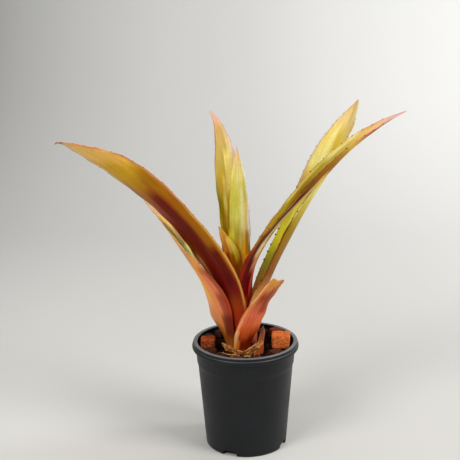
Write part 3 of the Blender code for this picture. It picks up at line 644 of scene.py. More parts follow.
PAINTS = {
    "leaf_left_front": Paint(
        face=((0, "7a3a20"), (0.3, "9e7030"), (0.6, "a48e32"), (0.85, "c0a040"), (1, "b06a40")),
        back=((0, "490300"), (0.15, "981a00"), (0.2, "792b01"), (0.25, "6b000c"), (0.35, "762f0b"),
              (0.45, "671e05"), (0.55, "882e04"), (0.6, "9a570d"), (0.65, "9f6517"), (0.7, "d8aa2c"),
              (0.76, "f0b64d"), (0.82, "f7c66f"), (0.9, "e5c67f"), (0.97, "cdab92"), (1, "7b4121")),
        washes=(
            Wash("back", (0.2, 0.6), (0.52, 0.72), "5e0d01", 0.85, (0.1, 0.12)),
            Wash("back", (0.26, 0.7), (0.78, 1.1), "ab7207", 0.75, (0.1, 0.12)),
            Wash("back", (0.33, 0.62), (-0.1, 0.2), "55331f", 0.7, (0.1, 0.1)),
            Wash("back", (0.62, 0.8), (0.3, 0.72), "c79600", 0.6, (0.08, 0.2)),
            Wash("back", (0.68, 0.93), (-0.1, 0.22), "baa343", 0.8, (0.06, 0.1)),
            Wash("back", (0.78, 0.95), (0.45, 0.95), "f7c05c", 0.7, (0.06, 0.2)),
            Wash("back", (0.3, 0.86), (0.25, 0.275), "a25b23", 0.6, (0.1, 0.02)),
            Wash("back", (0.3, 0.86), (0.335, 0.36), "b67128", 0.5, (0.1, 0.02)),
            Wash("back", (0.1, 0.2), (0.5, 0.95), "9e3c0f", 0.6, (0.05, 0.15)),
            Wash("both", (0.17, 0.5), (0.955, 1.1), "ce9747", 0.95, (0.05, 0.03)),
            Wash("both", (0.5, 0.8), (0.965, 1.1), "cd875c", 0.9, (0.06, 0.03)),
            Wash("both", (0.84, 0.97), (0.93, 1.1), "f78f61", 0.9, (0.03, 0.05)),
            Wash("both", (0.45, 0.95), (-0.1, 0.03), "b07848", 0.7, (0.06, 0.03)),
            Wash("back", (0.975, 1.1), (-0.1, 1.1), "744422", 0.9, (0.02, 0.1)),
            Wash("back", (0.24, 0.36), (0.75, 0.91), "4b0000"),
            Wash("back", (0.24, 0.36), (0.1, 0.4), "f7ca8f"),
        ),
    ),
    "leaf_left_back": Paint(
        face=((0, "a06030"), (0.3, "cb804b"), (0.5, "e2a172"), (0.65, "f7f791"), (0.85, "e5b880"),
              (1, "c88d8e")),
        back=((0, "e28c4d"), (0.1, "964e1e"), (0.18, "dd8935"), (0.3, "ea8764"), (0.45, "f79f45"),
              (0.6, "d29255"), (0.75, "f1b355"), (0.9, "e2b67f"), (1, "e0b8a0")),
        washes=(
            Wash("both", (0.15, 0.5), (0.5, 0.75), "e7894f", 0.7, (0.1, 0.16)),
            Wash("both", (0.12, 0.5), (0.78, 1.1), "98402b", 0.85, (0.08, 0.12)),
            Wash("both", (0.3, 0.9), (0.35, 0.6), "f4c54a", 0.7, (0.15, 0.12)),
            Wash("both", (0.1, 0.35), (0.9, 1.1), "a93717", 0.6, (0.05, 0.06)),
            Wash("both", (0, 0.16), (-0.1, 1.1), "a05617", 0.6, (0.1, 0.1)),
            Wash("both", (0.9, 1.1), (-0.1, 1.1), "e0c08b", 0.7, (0.05, 0.1)),
            Wash("both", (0.4, 0.9), (-0.1, 0.06), "f0c379", 0.8, (0.1, 0.05)),
            Wash("back", (0.12, 0.24), (0.7, 1), "3b0000", 0.45, (0.05, 0.06)),
            Wash("face", (0.66, 0.78), (-0.05, 0.25), "ab6941"),
            Wash("back", (0.36, 0.48), (0.75, 0.91), "ef9062"),
        ),
    ),
    "leaf_back_tall": Paint(
        face=((0, "8a4a18"), (0.4, "a86d10"), (0.5, "c6ab03"), (0.6, "756900"), (0.7, "b29c3d"),
              (0.8, "bda454"), (0.9, "cba663"), (1, "f2bb9f")),
        back=((0, "7a3010"), (0.4, "8a5a1c"), (0.6, "a08430"), (0.8, "c4a058"), (1, "d89078")),
        washes=(
            Wash("face", (0.4, 0.9), (-0.1, 0.3), "f7dcaa", 0.7, (0.15, 0.2)),
            Wash("face", (0.42, 0.72), (0.55, 0.85), "c69920", 0.75, (0.1, 0.15)),
            Wash("face", (0.4, 0.64), (0.2, 0.4), "8a8418", 0.5, (0.1, 0.1)),
            Wash("both", (0.7, 1.1), (-0.1, 0.05), "e1bbe2", 0.8, (0.1, 0.06)),
            Wash("both", (0.75, 1.1), (0.93, 1.1), "b9774d", 0.8, (0.1, 0.06)),
            Wash("both", (0.93, 1.1), (-0.1, 1.1), "e4ab94", 0.7, (0.05, 0.1)),
            Wash("face", (0.5, 0.7), (0.2, 0.7), "edd272"),
            Wash("face", (0.6, 0.8), (0.25, 0.55), "f7e27d"),
            Wash("face", (0.57, 0.63), (0.59, 0.75), "f7f77e"),
        ),
    ),
    "leaf_back_inner": Paint(
        face=((0, "8a4a18"), (0.4, "e08e39"), (0.5, "f6b729"), (0.58, "bba734"), (0.66, "d4cf64"),
              (0.75, "c4b943"), (0.85, "dbcf77"), (0.95, "ddb87b"), (1, "c6a89e")),
        back=((0, "6a2008"), (0.4, "8a4818"), (0.6, "a07c28"), (0.8, "c09c50"), (1, "d89878")),
        washes=(
            Wash("face", (0.56, 0.74), (0, 0.35), "e0c788", 0.75, (0.08, 0.14)),
            Wash("face", (0.52, 0.9), (0.62, 0.8), "c3bb50", 0.7, (0.12, 0.12)),
            Wash("face", (0.45, 0.8), (0.9, 1.1), "9a7100", 0.85, (0.1, 0.06)),
            # Painted highlight: a pale whitish-green streak down the middle of the face, where it
            # catches the light
            Wash("face", (0.5, 0.9), (0.42, 0.5), "d5cf93", 0.5, (0.1, 0.06)),
            Wash("both", (0.7, 1.1), (-0.1, 0.05), "f7f7f6", 0.8, (0.1, 0.06)),
            Wash("both", (0.78, 1.1), (0.95, 1.1), "e9d83f", 0.8, (0.1, 0.05)),
            Wash("face", (0.48, 0.6), (-0.05, 0.25), "9d6619"),
            # Painted highlight: a pale whitish-green patch on the face, where it catches the light
            Wash("face", (0.6, 0.8), (0.27, 0.43), "e3e19f"),
            Wash("face", (0.48, 0.6), (0.7, 1.2), "f7f747"),
            Wash("face", (0.54, 0.66), (-0.01, 0.07), "d7ebf7"),
            Wash("face", (0.6, 0.8), (-0.05, 0.11), "f4ecf7"),
        ),
    ),
    "leaf_heart": Paint(
        face=((0, "7a3a10"), (0.5, "f77c87"), (0.7, "dc7f00"), (0.85, "c07827"), (1, "c09f4d")),
        back=((0, "6a1808"), (0.5, "7a2c0c"), (0.7, "8a5018"), (0.85, "b07c30"), (1, "c89050")),
        washes=(
            Wash("both", (0.6, 1.1), (-0.1, 0.12), "e19309", 0.8, (0.1, 0.08)),
            Wash("both", (0.6, 1.1), (0.9, 1.1), "eb8e2b", 0.7, (0.1, 0.06)),
            Wash("face", (0.7, 0.9), (0.11, 0.27), "f7f724"),
            Wash("face", (0.78, 0.9), (-0.05, 0.45), "f7d865"),
            Wash("face", (0.72, 0.84), (-0.05, 0.25), "f7f060"),
            Wash("face", (0.6, 0.8), (0.55, 0.85), "742900"),
        ),
    ),
    "leaf_right": Paint(
        face=((0, "7a2408"), (0.3, "845515"), (0.4, "c88845"), (0.5, "928808"), (0.6, "450300"),
              (0.7, "b8a045"), (0.8, "d9ba62"), (0.9, "e5c180"), (0.96, "d9bfb6"), (1, "dc4b74")),
        back=((0, "b65e22"), (0.1, "c76431"), (0.16, "ef7b46"), (0.22, "760000"), (0.34, "450002"),
              (0.42, "5a310e"), (0.5, "491f00"), (0.6, "401000"), (0.7, "9d5d1b"), (0.8, "f3cf60"),
              (0.9, "8e3a2e"), (1, "cb3661")),
        washes=(
            Wash("back", (0.1, 0.4), (-0.1, 0.12), "992b04", 0.85, (0.06, 0.08)),
            Wash("back", (0.38, 0.62), (-0.1, 0.06), "c58106", 0.85, (0.06, 0.05)),
            Wash("back", (0.44, 0.72), (0.25, 0.6), "7b5227", 0.6, (0.08, 0.15)),
            Wash("face", (0.42, 0.72), (0.55, 0.7), "5c4408", 0.8, (0.08, 0.1)),
            Wash("face", (0.4, 0.8), (0.78, 0.95), "c4aa27", 0.7, (0.1, 0.12)),
            Wash("both", (0.4, 0.84), (0.97, 1.1), "e39451", 0.85, (0.06, 0.02)),
            Wash("both", (0.84, 1.1), (-0.1, 0.06), "e59081", 0.9, (0.05, 0.05)),
            Wash("both", (0.84, 1.1), (0.94, 1.1), "f7a983", 0.9, (0.05, 0.05)),
            Wash("both", (0.95, 1.1), (-0.1, 1.1), "e6c1bc", 0.8, (0.04, 0.1)),
            Wash("back", (0.6, 0.8), (-0.1, 0.3), "8f601b", 0.6, (0.1, 0.15)),
            Wash("back", (0.35, 0.7), (0.19, 0.35), "f7d56e"),
            Wash("face", (0.52, 0.87), (0.91, 0.99), "f2e776"),
            Wash("face", (0.72, 0.84), (0.83, 0.99), "f7f7a9"),
            Wash("back", (0, 0.35), (0.4, 0.7), "e06959"),
            Wash("back", (0.3, 0.42), (0.25, 0.55), "e5a478"),
            Wash("back", (0.36, 0.42), (0.19, 0.35), "e4d9a5"),
        ),
    ),
    "leaf_right_back": Paint(
        face=((0, "8b2b17"), (0.2, "f7a555"), (0.3, "f7f751"), (0.4, "efe52e"), (0.5, "c3b843"),
              (0.6, "cc9123"), (0.7, "e9de87"), (0.8, "e3cb6d"), (0.9, "ddbf7f"), (1, "c19b61")),
        back=((0, "560000"), (0.15, "f7be7f"), (0.3, "8a4c0d"), (0.45, "9b7a11"), (0.6, "e2d767"),
              (0.8, "e1ba49"), (1, "d8b080")),
        washes=(
            Wash("face", (0.28, 0.66), (0.66, 0.86), "f5e54b", 0.8, (0.08, 0.1)),
            Wash("face", (0.3, 0.7), (0.3, 0.5), "988454", 0.5, (0.1, 0.12)),
            Wash("face", (0.45, 0.7), (0.1, 0.3), "c8b850", 0.6, (0.1, 0.12)),
            Wash("face", (0.72, 0.86), (0.66, 0.8), "ece58e", 0.8, (0.06, 0.08)),
            Wash("face", (0.7, 0.84), (0.42, 0.6), "dab123", 0.6, (0.06, 0.1)),
            Wash("both", (0.25, 0.75), (-0.1, 0.04), "723d00", 0.75, (0.06, 0.04)),
            Wash("both", (0.88, 1.1), (-0.1, 0.3), "f7f7b1", 0.6, (0.06, 0.2)),
            Wash("both", (0.5, 1.1), (0.95, 1.1), "cdb491", 0.7, (0.1, 0.05)),
            Wash("face", (0.15, 0.3), (-0.1, 0.3), "b86040", 0.5, (0.05, 0.2)),
            Wash("back", (0.48, 0.6), (-0.05, 0.03), "f7f796"),
            Wash("back", (0.5, 0.7), (-0.05, 0.03), "f7f7b8"),
        ),
    ),
    "leaf_cut_stub": Paint(
        face=((0, "8a3c1c"), (0.5, "a05838"), (0.9, "c89060"), (1, "d8a868")),
        back=((0, "7a4014"), (0.08, "f78846"), (0.16, "7c2604"), (0.26, "6a1800"), (0.34, "bc490f"),
              (0.45, "eb754a"), (0.58, "e06f4d"), (0.7, "c65f3e"), (0.8, "9b3f21"), (0.9, "d68c49"),
              (1, "c67b45")),
        washes=(
            Wash("both", (0.05, 1.1), (-0.1, 0.1), "f7c684", 0.85, (0.06, 0.1)),
            Wash("both", (0.55, 1.1), (0.05, 0.22), "e58349", 0.7, (0.15, 0.12)),
            Wash("both", (0.3, 0.9), (0.93, 1.1), "bf8c63", 0.75, (0.08, 0.08)),
            Wash("back", (0.25, 0.55), (0.2, 0.5), "d55c33", 0.6, (0.1, 0.15)),
            Wash("back", (0.6, 0.92), (0.55, 0.9), "89341b", 0.6, (0.08, 0.15)),
            Wash("back", (0.02, 0.26), (0.02, 0.22), "f39940", 0.7, (0.08, 0.1)),
            Wash("both", (0.95, 1.1), (-0.1, 1.1), "da963e", 0.85, (0.03, 0.1)),
            Wash("back", (0.7, 1.05), (0.75, 0.91), "b4684a"),
            Wash("back", (0.35, 0.7), (-0.05, 0.03), "df2e0a"),
            Wash("back", (0.24, 0.36), (0.07, 0.15), "f7aa77"),
        ),
    ),
    "sheath_lobe": Paint(
        face=((0, "7a2c1c"), (1, "b86450")),
        back=((0, "b25f2b"), (0.35, "cc572b"), (0.7, "9e5437"), (1, "59302c")),
        washes=(
            Wash("both", (0.3, 1.1), (0.85, 1.1), "e0a088", 0.6, (0.2, 0.1)),
        ),
    ),
}
print(sum(len(scheme.washes) for scheme in PAINTS.values()), "washes on", len(PAINTS), "leaves")

# %% [markdown]
# ## What a leaf's surface is
# A bromeliad's blade is covered by a tough cuticle with a thin wax on it: a soft
# satin, not a mirror. Veins run along it side by side, so the bump and the fine
# streaks of colour come from a noise that is stretched a long way down the leaf.
# Its coordinates are the distance across and along in metres, kept on the mesh, so
# the streaks follow every bend. Dry tissue, at a cut end or a tip, is dull.

# %% Leaf cuticle and thorn horn
STREAK_WIDTH = 1.4 * MM
STREAK_STRETCH = 0.045
FLECK_SIZE = 2.2 * MM
HORN_FLECK = MM / 1.5


def leaf_cuticle():
    """Waxed living leaf: painted colour, streaks along the veins, flecks and satin."""
    material, tree, shader = new_material(
        "bromeliad_leaf_cuticle", roughness=0.42, ior=1.45, specular_ior_level=0.08)
    tissue = add(tree, "Attribute", attribute_name="tissue")
    dry = add(tree, "Attribute", attribute_name="dry")
    blade = add(tree, "Attribute", attribute_name="blade")
    lengthwise = add(tree, "Mapping", {
        "Vector": blade.outputs["Vector"],
        "Scale": (1 / STREAK_WIDTH, STREAK_STRETCH / STREAK_WIDTH, 1 / STREAK_WIDTH)})
    streak = add(tree, "TexNoise", {
        "Vector": lengthwise, "Scale": 1.0, "Detail": 3.0, "Roughness": 0.6})
    band = add(tree, "MapRange", {
        "Value": streak, "From Min": 0.3, "From Max": 0.7, "To Min": 0.84, "To Max": 1.12})
    place = add(tree, "TexCoord")
    fleck = add(tree, "TexNoise", {
        "Vector": place.outputs["Object"], "Scale": 1 / FLECK_SIZE, "Detail": 4.0, "Roughness": 0.65})
    mottle = add(tree, "MapRange", {
        "Value": fleck, "From Min": 0.3, "From Max": 0.7, "To Min": 0.92, "To Max": 1.07})
    depth = add(tree, "Math", {0: band, 1: mottle}, operation="MULTIPLY")
    shade = add(tree, "VectorMath", {0: tissue.outputs["Color"], "Scale": depth},
                operation="SCALE")
    feed(tree, shader, {"Base Color": shade})
    dull = add(tree, "MapRange", {"Value": dry.outputs["Fac"], "To Min": 0.4, "To Max": 0.85})
    feed(tree, shader, {"Roughness": dull})
    relief = add(tree, "Math", {0: streak, 1: fleck}, operation="ADD")
    bump = add(tree, "Bump", {
        "Height": relief, "Strength": 0.35, "Distance": 0.18 * MM})
    feed(tree, shader, {"Normal": bump})
    return material


CUTICLE = leaf_cuticle()
# Dead, hard horn: dark red-brown with a fine fleck and the dull gloss of a fingernail
HORN = grained("thorn_horn", (HORN_FLECK,) * 3, ((0.3, "2c1208"), (0.7, "5c2c14")), 2.0,
               roughness=0.45, specular_ior_level=0.4)
print("materials:", CUTICLE.name, HORN.name)

# %% [markdown]
# ## Building the leaves
# Each leaf is now one call: follow its spine, wrap the skin, add the thorns, lay
# the paint, and keep three attributes for the material. The stub was cut off by
# the grower, so its end is torn: the last rows slide along the leaf by a jagged
# amount across the width. The long front leaf ends in a dry hook.

# %% Build the nine leaf pieces
LEAF_ROWS = 260
LOBE_ROWS = 90
JAG = 2.6 * MM
JAG_START = 0.86
HOOK_DROP = 2.2 * MM
TIP_START = 0.975        # share of the leaf where the tip hooks and dries
THORN_HEX = "4a2410"
ATTRIBUTE_KINDS = {1: ("FLOAT", "value"), 3: ("FLOAT_VECTOR", "vector"), 4: ("FLOAT_COLOR", "color")}


def write_attribute(mesh, name, values):
    """Store a number, a vector or an RGBA colour for each vertex of the mesh."""
    values = np.asarray(values, dtype=np.float32).reshape(len(mesh.vertices), -1)
    kind, key = ATTRIBUTE_KINDS[values.shape[1]]
    mesh.attributes.new(name, kind, "POINT").data.foreach_set(key, values.ravel())


def finish_leaf(leaf, seed):
    """Skin, thorns, paint and attributes of one leaf, riding on the plant."""
    rows = LOBE_ROWS if leaf.name == "sheath_lobe" else LEAF_ROWS
    spine = spine_of(leaf, rows)
    skin = leaf_skin(leaf, spine, seed)
    share = np.broadcast_to(spine.share[:, None], skin.shape[:2])
    across = np.broadcast_to((LOOP_U + 1) / 2, skin.shape[:2])
    on_face = np.broadcast_to(LOOP_LIFT > 0, skin.shape[:2])
    if leaf.name == "leaf_cut_stub":
        tear = smooth_step((share - JAG_START) / (1 - JAG_START))
        jag = np.sin(9 * across + 1) + 0.6 * np.sin(31 * across) + 0.5 * np.sin(57 * across + 2)
        slide = JAG * tear * (jag / 2 + 1.2 * across**4)
        skin = skin + slide[..., None] * spine.tangent[:, None, :]
    if leaf.name == "leaf_left_front":
        droop = HOOK_DROP * np.clip((share - TIP_START) / (1 - TIP_START), 0, 1) ** 2
        skin = skin - droop[..., None] * np.array((0.0, 0.0, 1.0))
    body = close_tube(skin)
    skin_points = len(body[0])
    colour = paint_blade(PAINTS[leaf.name], share, across, on_face).reshape(-1, 3)
    colour = np.concatenate((colour, [colour[:len(LOOP_U)].mean(0), colour[-len(LOOP_U):].mean(0)]))
    reach = (across - 0.5) * spine.width[:, None]
    blade = np.stack((reach, share * leaf.length * MM, 0.01 * on_face), -1).reshape(-1, 3)
    blade = np.concatenate((blade, [blade[0], blade[-1]]))
    dryness = smooth_step((share - TIP_START) / 0.015).ravel()
    dryness = np.concatenate((dryness, [0.0, dryness[-1]]))
    if leaf.name in THORNS:
        thorns = islands_to_faces(thorn_islands(leaf, spine, seed))
        body = merged(body, thorns)
        extra = len(thorns[0])
        colour = np.concatenate((colour, np.tile(to_linear(hex_srgb(THORN_HEX)), (extra, 1))))
        blade = np.concatenate((blade, np.zeros((extra, 3))))
        dryness = np.concatenate((dryness, np.zeros(extra)))
    piece = put_in_scene(leaf.name + "_blade", body, CUTICLE, HORN)
    on_thorn = np.concatenate((body[1][:, 0], body[2][:, 0])) >= skin_points
    piece.data.polygons.foreach_set("material_index", on_thorn.astype(np.int32))
    write_attribute(piece.data, "tissue", np.column_stack((colour, np.ones(len(colour)))))
    write_attribute(piece.data, "blade", blade)
    write_attribute(piece.data, "dry", dryness)
    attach(piece, "root")
    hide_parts(leaf.name)
    return piece


blades = [finish_leaf(leaf, seed) for seed, leaf in enumerate(LEAVES)]
print("leaf faces:", sum(len(piece.data.polygons) for piece in blades))

# %% [markdown]
# ## The nursery pot
# The pot is one thin tub of black polypropylene: a cone of a wall, a ledge below
# the rim that keeps stacked pots apart, and a rim rolled into a hollow bead so
# that it stays stiff. A moulded part has no sharp corner, so its half section is
# drawn with a small radius at each one and then turned round the axis. Four arched
# slots in the foot let water out; they are cut by Boolean, as their edges are square.

# %% Half section of the pot
POT_TURNS = 240
POT_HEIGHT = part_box("pot")[1].z
RIM_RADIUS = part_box("pot")[1].x
FOOT_RADIUS = 40.2 * MM
WALL_RADIUS = 48.4 * MM          # outside, where the wall meets the rim
WALL = 1.1 * MM
FLOOR_THICK = 2.0 * MM
RIM_DROP = 7.4 * MM              # from the crest to the foot of the bead
RIM_SKIN = 1.2 * MM              # of the bead, which is hollow underneath
RIM_STEP = 1.1 * MM              # the crest stands in from the bead
RIM_STEP_DROP = 2.9 * MM         # from the crest to the top of the bead
LEDGE_RISE = 0.8 * MM            # the band above the ledge stands out from the wall
LEDGE_DEPTH = 13.0 * MM          # from the bead to the ledge
LEDGE_SLOPE = 4.0 * MM
SHARP_ANGLE = 38                 # degrees; only the slots' edges are sharper
BAND_FOOT = POT_HEIGHT - RIM_DROP
BEAD_TOP = POT_HEIGHT - RIM_STEP_DROP
BEAD_MIDDLE = (BAND_FOOT + BEAD_TOP) / 2


def wall_radius(height):
    """Outside radius of the wall: an even taper from the foot up to the rim."""
    return FOOT_RADIUS + (WALL_RADIUS - FOOT_RADIUS) * min(height / BAND_FOOT, 1)


def rounded(corners, steps=6):
    """Replace each (radius, height, fillet) corner by a quadratic arc of that fillet."""
    corners = np.array(corners, dtype=float)
    outline = [corners[0, :2]]
    for before, here, after in zip(corners[:-2], corners[1:-1], corners[2:]):
        start, end = (here[:2] + (other[:2] - here[:2]) / np.linalg.norm(other[:2] - here[:2])
                      * min(here[2], 0.49 * np.linalg.norm(other[:2] - here[:2]))
                      for other in (before, after))
        t = np.linspace(0, 1, steps)[:, None]
        outline.extend((1 - t) ** 2 * start + 2 * t * (1 - t) * here[:2] + t**2 * end)
    outline.append(corners[-1, :2])
    return np.array(outline)


def pot_section():
    """Foot, wall, ledge, rolled bead, crest, inner wall and floor, as fillet corners."""
    fine = 0.4 * MM
    ledge_foot = BAND_FOOT - LEDGE_DEPTH
    neck = RIM_RADIUS - RIM_STEP
    return rounded((
        (0, 0, 0),
        (FOOT_RADIUS, 0, 1.6 * MM),
        (wall_radius(ledge_foot - LEDGE_SLOPE), ledge_foot - LEDGE_SLOPE, 1.5 * MM),
        (wall_radius(ledge_foot) + LEDGE_RISE, ledge_foot, 1.5 * MM),
        (WALL_RADIUS + LEDGE_RISE, BEAD_MIDDLE, fine),
        (RIM_RADIUS - RIM_SKIN, BEAD_MIDDLE, fine),
        (RIM_RADIUS - 1.7 * RIM_SKIN, BAND_FOOT + 0.6 * MM, 0.2 * MM),
        (RIM_RADIUS - 1.4 * MM, BAND_FOOT - 0.1 * MM, 0.5 * MM),
        (RIM_RADIUS, BAND_FOOT + 0.9 * MM, 1.4 * MM),
        (RIM_RADIUS, BEAD_TOP - 0.8 * MM, 0.9 * MM),
        (neck, BEAD_TOP + 0.3 * MM, 0.35 * MM),
        (neck, POT_HEIGHT, 1.1 * MM),
        (WALL_RADIUS - WALL, POT_HEIGHT, 0.8 * MM),
        (WALL_RADIUS - WALL, BAND_FOOT, fine),
        (wall_radius(FLOOR_THICK) - WALL, FLOOR_THICK, 1.6 * MM),
        (0, FLOOR_THICK, 0),
    ))


def on_circle(radius, angle, height):
    """Points (radius cos angle, radius sin angle, height) of arrays that broadcast."""
    return np.stack(np.broadcast_arrays(radius * np.cos(angle), radius * np.sin(angle), height), -1)


def turned(outline, turns):
    """Each (radius, height) carried round z in equal angles; the ends lie on the axis."""
    angle = np.linspace(0, 2 * math.pi, turns, endpoint=False)
    return on_circle(outline[1:-1, 0][:, None], angle, outline[1:-1, 1][:, None])


section = pot_section()
print("pot section:", len(section), "points, rim", round(2 * RIM_RADIUS / MM, 1), "mm across")

# %% Turn the pot and cut its drainage slots
SLOT_AZIMUTHS = (-115, -25, 65, 155)
SLOT_WIDTH = 14.6 * MM
SLOT_HEIGHT = 5.4 * MM
SLOT_DEPTH = 7.0 * MM


def slot_cutter(azimuth):
    """An arch (a flat-sided box under a half ellipse) run in through the foot."""
    turn = np.linspace(0, math.pi, 15)
    arch_y = np.concatenate(([0.5], 0.5 * np.cos(turn) * 0.999, [-0.5])) * SLOT_WIDTH
    arch_z = np.concatenate(([-1.0], 0.45 + 0.55 * np.sin(turn), [-1.0])) * SLOT_HEIGHT
    near, far = FOOT_RADIUS - SLOT_DEPTH, FOOT_RADIUS + SLOT_DEPTH
    loop = np.stack((np.zeros(len(arch_y)), arch_y, arch_z), 1)
    tube = np.stack((loop + (near, 0, 0), loop + (far, 0, 0)))
    points, quads, triangles = close_tube(tube)
    angle = math.radians(azimuth)
    cos, sin = math.cos(angle), math.sin(angle)
    points = points @ np.array(((cos, sin, 0), (-sin, cos, 0), (0, 0, 1)))
    return put_in_scene(f"slot_cutter_{azimuth}", (points, quads, triangles))


def black_polypropylene():
    """Formed black plastic: fine satin grain, with a painted highlight of pale grey where it faces up.
    """
    material, tree, shader = new_material(
        "moulded_black_polypropylene", roughness=0.42, ior=1.49, specular_ior_level=0.28)
    place = add(tree, "TexCoord")
    cloud = add(tree, "TexNoise", {
        "Vector": place.outputs["Object"], "Scale": 38.0, "Detail": 5.0, "Roughness": 0.6})
    tone = add(tree, "ValToRGB", {"Fac": cloud},
               stops=((0.35, "0c0e12"), (0.62, "12151a"), (0.8, "1a1d23")))
    # Painted highlight: faces that look up, the crest and the top of the bead, are mixed towards pale
    # grey
    facing = add(tree, "SeparateXYZ", {
        "Vector": add(tree, "NewGeometry").outputs["Normal"]})
    facing_up_share = add(tree, "MapRange", {
        "Value": facing.outputs["Z"], "From Min": 0.55, "From Max": 0.97})
    painted_highlight = add(tree, "Mix", {
        "Factor": facing_up_share, "A": tone, "B": paint("6c6f74")}, data_type="RGBA")
    feed(tree, shader, {"Base Color": painted_highlight.outputs["Result"]})
    satin = add(tree, "MapRange", {
        "Value": cloud, "From Min": 0.3, "From Max": 0.75, "To Min": 0.36, "To Max": 0.54})
    feed(tree, shader, {"Roughness": satin})
    grain = add(tree, "TexNoise", {
        "Vector": place.outputs["Object"], "Scale": 1 / (0.9 * MM), "Detail": 2.0})
    bump = add(tree, "Bump", {
        "Height": grain, "Strength": 0.25, "Distance": 0.05 * MM})
    feed(tree, shader, {"Normal": bump})
    return material


def build_pot():
    """Turn the section, fan the two poles, cut the slots and keep the cut mesh."""
    rings = turned(section, POT_TURNS)
    points, quads, triangles = close_tube(rings)
    points[-2], points[-1] = (0, 0, section[0, 1]), (0, 0, section[-1, 1])
    pot = put_in_scene("nursery_pot", (points, quads, triangles), black_polypropylene())
    cutters = [slot_cutter(azimuth) for azimuth in SLOT_AZIMUTHS]
    for cutter in cutters:
        cut = pot.modifiers.new(cutter.name, "BOOLEAN")
        cut.operation = "DIFFERENCE"
        cut.solver = "EXACT"
        cut.object = cutter
    bpy.context.view_layer.update()
    whole = pot.evaluated_get(bpy.context.evaluated_depsgraph_get())
    cut_mesh = bpy.data.meshes.new_from_object(whole)
    pot.modifiers.clear()
    pot.data = cut_mesh
    for cutter in cutters:
        bpy.data.objects.remove(cutter)
    cut_mesh.shade_smooth()
    cut_mesh.set_sharp_from_angle(angle=math.radians(SHARP_ANGLE))
    return pot


pot = build_pot()
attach(pot, "root")
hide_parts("pot")
print("pot faces:", len(pot.data.polygons))

# %% [markdown]
# ## The potting mix
# Under the bark lies a dark, open mix of composted bark and coir. It fills the pot
# to a few millimetres under the rim and rises a little against the sheaths. Its
# body is a turned plug whose top is a height field: several sizes of ripple added
# together. Over it lie loose crumbs. A crumb has only 26 faces, since there are
# hundreds, and flat shading gives it the broken look that bark has.

# %% The plug of mix
MIX_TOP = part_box("potting_mix")[1].z
MIX_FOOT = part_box("potting_mix")[0].z
MIX_TURNS = 200
MIX_RINGS = 90
MIX_ROUGHNESS = 1.5 * MM
MIX_GAP = 0.15 * MM
MIX_GRAIN = 4 * MM
MIX_SINK = 1.0 * MM              # the level lies under the solid's top, so ripples fit
DIP_DEPTH = 2.0 * MM
DIP_RADIUS = 22 * MM
DIP_BREADTH = 7 * MM


def mix_height(x, y):
    """Three sizes of ripple on a level that dips in a ring round the crown."""
    spot = np.stack((x, y, np.zeros_like(x)), -1)
    crown_distance = np.hypot(x - CROWN[0], y - CROWN[1])
    dip = DIP_DEPTH * np.exp(-((crown_distance - DIP_RADIUS) / DIP_BREADTH) ** 2)
    lumps = ripple(spot, 11 * MM, 21) + 0.7 * ripple(spot, 5 * MM, 22) + 0.5 * ripple(spot, 2.4 * MM, 23)
    return MIX_TOP - MIX_SINK - dip + MIX_ROUGHNESS * 0.45 * lumps


def build_mix():
    """Rings down from the middle of the top, out to the wall, down it and under."""
    side = wall_radius(MIX_TOP * 0.9) - WALL - MIX_GAP
    radius = np.linspace(0, 1, MIX_RINGS)[1:] ** 0.8 * side
    foot_radius = wall_radius(MIX_FOOT) - WALL - 2.0 * MM
    angle = np.linspace(0, 2 * math.pi, MIX_TURNS, endpoint=False)
    x, y = radius[:, None] * np.cos(angle), radius[:, None] * np.sin(angle)
    top = np.stack((x, y, mix_height(x, y)), -1)
    rings = np.concatenate((top, on_circle(foot_radius, angle, MIX_FOOT)[None]))
    points, quads, triangles = close_tube(rings)
    points[-2] = (0, 0, float(mix_height(np.zeros(1), np.zeros(1))[0]))
    points[-1] = (0, 0, MIX_FOOT)
    return put_in_scene("potting_mix_bed", (points, quads, triangles), MIX)


# Composted bark and coir: near black, red-brown where it is dry, broken up and fully matt
MIX = grained("bark_and_coir_mix", (MIX_GRAIN,) * 3,
              ((0.34, "0c0503"), (0.5, "241008"), (0.62, "45200e"), (0.74, "7a421e")), 6.0,
              breakup=0.7, bump=(0.9, 0.9 * MM), roughness=0.95, specular_ior_level=0.15)
bed = build_mix()
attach(bed, "root")
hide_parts("potting_mix")
print("mix surface at", round(MIX_TOP / MM, 1), "mm,", len(bed.data.polygons), "faces")

# %% Loose crumbs on the mix
CRUMBS = 520
CRUMB_SEED = 12
CRUMB_INNER = 9 * MM
CRUMB_SIZES = (0.7, 2.6)         # half length in mm, from fine to coarse


def lump(rows, columns):
    """Unit sphere rings between the poles: (sin p cos a, sin p sin a, cos p)."""
    polar = np.linspace(0, math.pi, rows + 2)[1:-1][:, None]
    angle = np.linspace(0, 2 * math.pi, columns, endpoint=False)[None, :]
    return on_circle(np.sin(polar), angle, np.cos(polar))


def random_turns(random, count):
    """Rotation matrices from random unit quaternions."""
    w, x, y, z = (lambda q: q / np.linalg.norm(q, axis=0))(random.normal(size=(4, count)))
    rows = ((1 - 2 * (y * y + z * z), 2 * (x * y - w * z), 2 * (x * z + w * y)),
            (2 * (x * y + w * z), 1 - 2 * (x * x + z * z), 2 * (y * z - w * x)),
            (2 * (x * z - w * y), 2 * (y * z + w * x), 1 - 2 * (x * x + y * y)))
    return np.moveaxis(np.array(rows), 2, 0)


